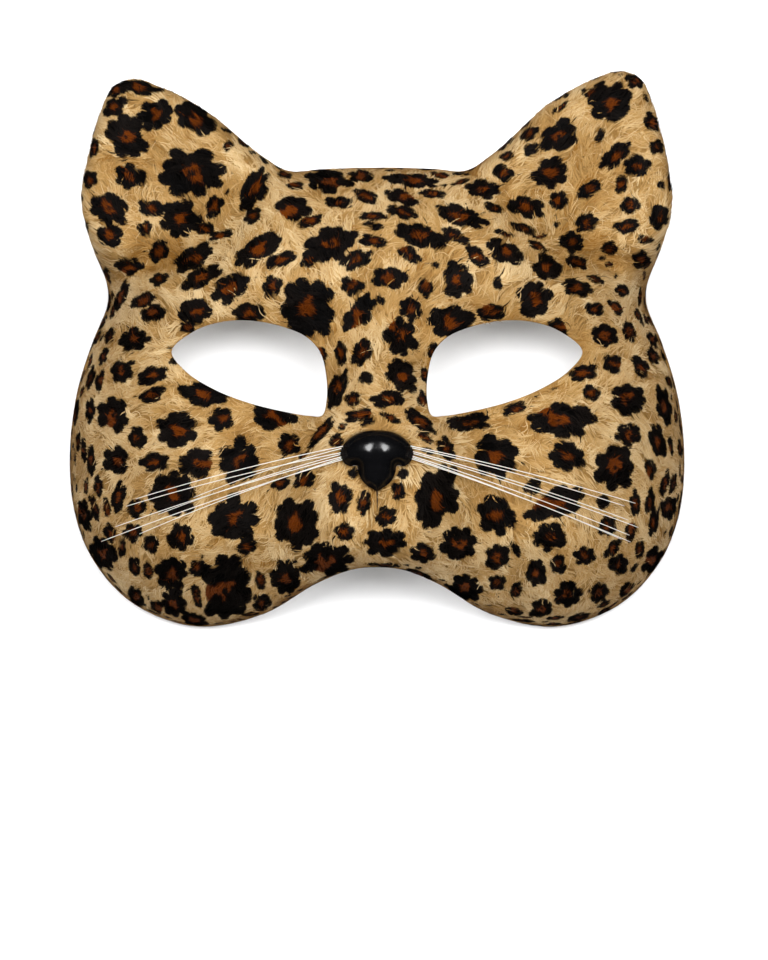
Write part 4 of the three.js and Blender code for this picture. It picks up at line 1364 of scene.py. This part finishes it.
def ribbons(strands, chosen, places):
    """Flat tapering ribbons along the chosen strands: their arrays and their quads and tips."""
    places = places[:, chosen]
    spines, sides, shading, lengths = (
        along_strand(strands[key][:, chosen], places)
        for key in ("spines", "sides", "shading", "lengths")
    )
    left, right = (
        along_strand(strands[key][:, chosen], places, COLOUR_SHARPNESS) for key in ("left", "right")
    )
    rows = {"vertices": [], "normals": [], "colours": [], "fibre": []}
    last = len(places) - 1
    for k in range(last + 1):
        for side in (-1, 1) if k < last else (0,):
            rows["vertices"].append(spines[k] + side * sides[k])
            rows["normals"].append(unit(shading[k] + side * STRAND_ROUNDNESS * unit(sides[k])))
            rows["colours"].append(mix(left[k], right[k], 0.5 + 0.5 * side))
            rows["fibre"].append(lengths[k] + [0, 0.5 * side])
    count = int(chosen.sum())
    first = len(rows["vertices"]) * np.arange(count)[:, None]
    quads = np.vstack([first + 2 * k + [0, 1, 3, 2] for k in range(last - 1)])
    tips = first + 2 * (last - 1) + [0, 1, 2]
    arrays = {
        key: np.stack(value, axis=1).reshape(-1, value[0].shape[1]) for key, value in rows.items()
    }
    return arrays, quads, tips


def make_fur(material):
    strands = make_strands()
    for name, inside in fur_regions(strands["root"]).items():
        parts, faces, start = [], [], 0
        for chosen, places in strands["places"]:
            arrays, quads, tips = ribbons(strands, inside & chosen, places)
            parts.append(arrays)
            faces += [quads + start, tips + start]
            start += len(arrays["vertices"])
        arrays = {key: np.vstack([part[key] for part in parts]) for key in parts[0]}
        fur = mesh_object(name, arrays["vertices"], faces)
        add_colours(fur.data, arrays["colours"])
        fibre = fur.data.uv_layers.new(name="fibre")
        corners = np.concatenate([face.ravel() for face in faces])
        fibre.uv.foreach_set("vector", arrays["fibre"][corners].astype(np.float32).ravel())
        fur.data.normals_split_custom_set_from_vertices(arrays["normals"])
        fur.data.materials.append(material)
        finish_piece(fur, "plush")


def make_nose(material):
    outline = evenly(nose_edge, NOSE_STEPS["around"])
    places = ring_places(outline, NOSE_STEPS["inward"], NOSE_STEPS["power"], NOSE_MIDDLE)
    shape = places.shape[:2]
    x, y = places.reshape(-1, 2).T
    face = skin.at(x, y)[0][:, 2]
    front = np.column_stack([x, y, face + nose_rise(x, y)]).reshape(*shape, 3)
    back = np.column_stack([x, y, face - NOSE_SINK]).reshape(*shape, 3)
    vertices, quads, triangles = closed_body(front, back[::NOSE_STEPS["back_every"]])
    nose = mesh_object("nose_cap", vertices, [*quads, *triangles])
    nose.data.materials.append(material)
    finish_piece(nose, "nose_plastic", "nose")


def nose_half_width(y):
    level = nose_edge[np.abs(nose_edge[:, 1] - y) < 1]
    return level[:, 0].max()


def make_whisker(side, sign, index, root_y, tip, material):
    """A filament from inside the nose out over the cheek, finer towards its tip."""
    nose_out = nose_half_width(root_y) + WHISKER_ROOT["from_nose"]
    root_z = WHISKER_ROOT["height"] - (index % 2) * WHISKER_LAYER
    tip_out, tip_y = tip
    tip_z = root_z - WHISKER_SWEEP * (tip_out - nose_out)
    root = np.array([sign * nose_out, root_y, root_z])
    end = np.array([sign * tip_out, tip_y, tip_z])
    middle = (root + end) / 2 + [0, WHISKER_ARCH["up"], WHISKER_ARCH["forward"]]
    t = np.linspace(0, 1, WHISKER_STEPS["along"])[:, None]
    path = (1 - t) ** 2 * root + 2 * t * (1 - t) * middle + t * t * end
    inward = unit(path[0] - path[1]) * (WHISKER_ROOT["in_nose"] + WHISKER_ROOT["from_nose"])
    path = np.vstack([path[0] + inward, path])
    direction = unit(np.gradient(path, axis=0))
    aside = unit(np.cross(direction, [0, 0, 1]))
    above = np.cross(aside, direction)
    corners = WHISKER_STEPS["around"]
    angle = 2 * math.pi * np.arange(corners) / corners
    radius = np.linspace(WHISKER_RADIUS["root"], WHISKER_RADIUS["tip"], len(path))[:, None, None]
    ring = np.cos(angle)[:, None] * aside[:, None] + np.sin(angle)[:, None] * above[:, None]
    tube = path[:, None] + radius * ring
    vertices = np.vstack([tube.reshape(-1, 3), path[:1], path[-1:]])
    first, last = len(vertices) - 2, len(vertices) - 1
    quads = ring_quads(corners, len(path) - 1)
    caps = [fan(corners, 0, first)[:, ::-1], fan(corners, (len(path) - 1) * corners, last)]
    whisker = mesh_object(f"filament_{side}_{index + 1}", vertices, [quads, *caps])
    whisker.data.materials.append(material)
    finish_piece(whisker, "whisker_nylon", f"whisker_{side}_{index + 1}")


def make_seam(material):
    """The fine dark line down from the nose's tip."""
    steps = SEAM["steps"]
    t = np.linspace(0, 1, steps)
    bottom, top = PARTING["up"]
    y = mix(top, bottom, t)
    x = SEAM["sway"] * np.sin(SEAM["turn"] * t)
    points, normals = skin.at(x, y)
    finest, wider = SEAM["half_width"]
    half = (finest + wider * (1 - t) ** SEAM["taper"])[:, None] * np.array([1, 0, 0])
    crest = points - SEAM["sink"] * normals
    rows = [crest - half, crest + half, crest - SEAM["depth"] * normals]
    vertices = np.stack(rows, axis=1).reshape(-1, 3)
    first = 3 * np.arange(steps - 1)[:, None]
    quads = np.vstack([first + [0, 1, 4, 3], first + [1, 2, 5, 4], first + [2, 0, 3, 5]])
    last = 3 * (steps - 1)
    ends = np.array([[0, 2, 1], [last, last + 1, last + 2]])
    seam = mesh_object("nose_seam", vertices, [quads, ends])
    seam.data.materials.append(material)
    finish_piece(seam, "plush")


# Studio
def make_floor():
    corners = FLOOR_HALF * np.array([(-1, -1, 0), (1, -1, 0), (1, 1, 0), (-1, 1, 0)], float)
    floor = mesh_object("floor", corners, [np.array([[0, 1, 2, 3]])])
    floor.data.materials.append(floor_material())
    floor.visible_glossy = False


def make_backdrop():
    """A pale box round the studio, which only the camera sees."""
    ends = (-BACKDROP_HALF, BACKDROP_HALF)
    corners = np.array([(x, y, z) for x in ends for y in ends for z in ends], float)
    sides = np.array([
        (0, 1, 3, 2), (4, 6, 7, 5), (0, 4, 5, 1), (2, 3, 7, 6), (0, 2, 6, 4), (1, 5, 7, 3),
    ])
    backdrop = mesh_object("backdrop", corners, [sides], smooth=False)
    backdrop.data.materials.append(backdrop_material())
    for kind in ("diffuse", "glossy", "transmission", "volume_scatter", "shadow"):
        setattr(backdrop, f"visible_{kind}", False)


def make_light(name, across, up, diameter, power, mirrored):
    """A round softbox, tilted by those degrees from straight above the mask."""
    lamp = bpy.data.lights.new(name, "AREA")
    lamp.shape = "DISK"
    lamp.size = diameter
    lamp.energy = power
    obj = bpy.data.objects.new(name, lamp)
    towards = Vector((math.tan(math.radians(across)), math.tan(math.radians(up)), 1)).normalized()
    obj.location = Vector(LIGHT_TARGET) + towards * LIGHT_DISTANCE
    obj.rotation_euler = towards.to_track_quat("Z", "Y").to_euler()
    obj.visible_glossy = mirrored
    bpy.context.scene.collection.objects.link(obj)


def make_world():
    """A sky that is bright towards the horizon and dim overhead."""
    world = bpy.data.worlds.new("studio")
    world.use_nodes = True
    tree = world.node_tree
    background = tree.nodes["Background"]
    coordinates = tree.nodes.new("ShaderNodeTexCoord")
    split = tree.nodes.new("ShaderNodeSeparateXYZ")
    level = tree.nodes.new("ShaderNodeMapRange")
    sockets = {"From Min": "from", "From Max": "to", "To Min": "horizon", "To Max": "overhead"}
    for socket, key in sockets.items():
        level.inputs[socket].default_value = SKY[key]
    tree.links.new(coordinates.outputs["Generated"], split.inputs["Vector"])
    tree.links.new(split.outputs["Z"], level.inputs["Value"])
    tree.links.new(level.outputs["Result"], background.inputs["Strength"])
    world.cycles_visibility.glossy = False
    bpy.context.scene.world = world


def make_studio():
    make_world()
    make_floor()
    make_backdrop()
    for name, light in LIGHTS.items():
        make_light(name, *light)
    bpy.context.scene.view_settings.view_transform = "Standard"


def make_camera():
    camera = bpy.data.cameras.new("camera")
    camera.lens = LENS
    camera.sensor_width = SENSOR
    obj = bpy.data.objects.new("camera", camera)
    obj.location = Vector((*CAMERA_PLACE, SCALE_HEIGHT + CAMERA_DISTANCE)) * MM
    bpy.context.scene.collection.objects.link(obj)
    bpy.context.scene.camera = obj


make_cover(ground_material(), lining_material())
make_fur(pile_material())
make_nose(nose_material())
thread = whisker_material()
for side, sign in (("left", -1), ("right", 1)):
    for i, (root_height, tip_place) in enumerate(WHISKERS[side]):
        make_whisker(side, sign, i, root_height, tip_place, thread)
make_seam(seam_material())
make_studio()
make_camera()
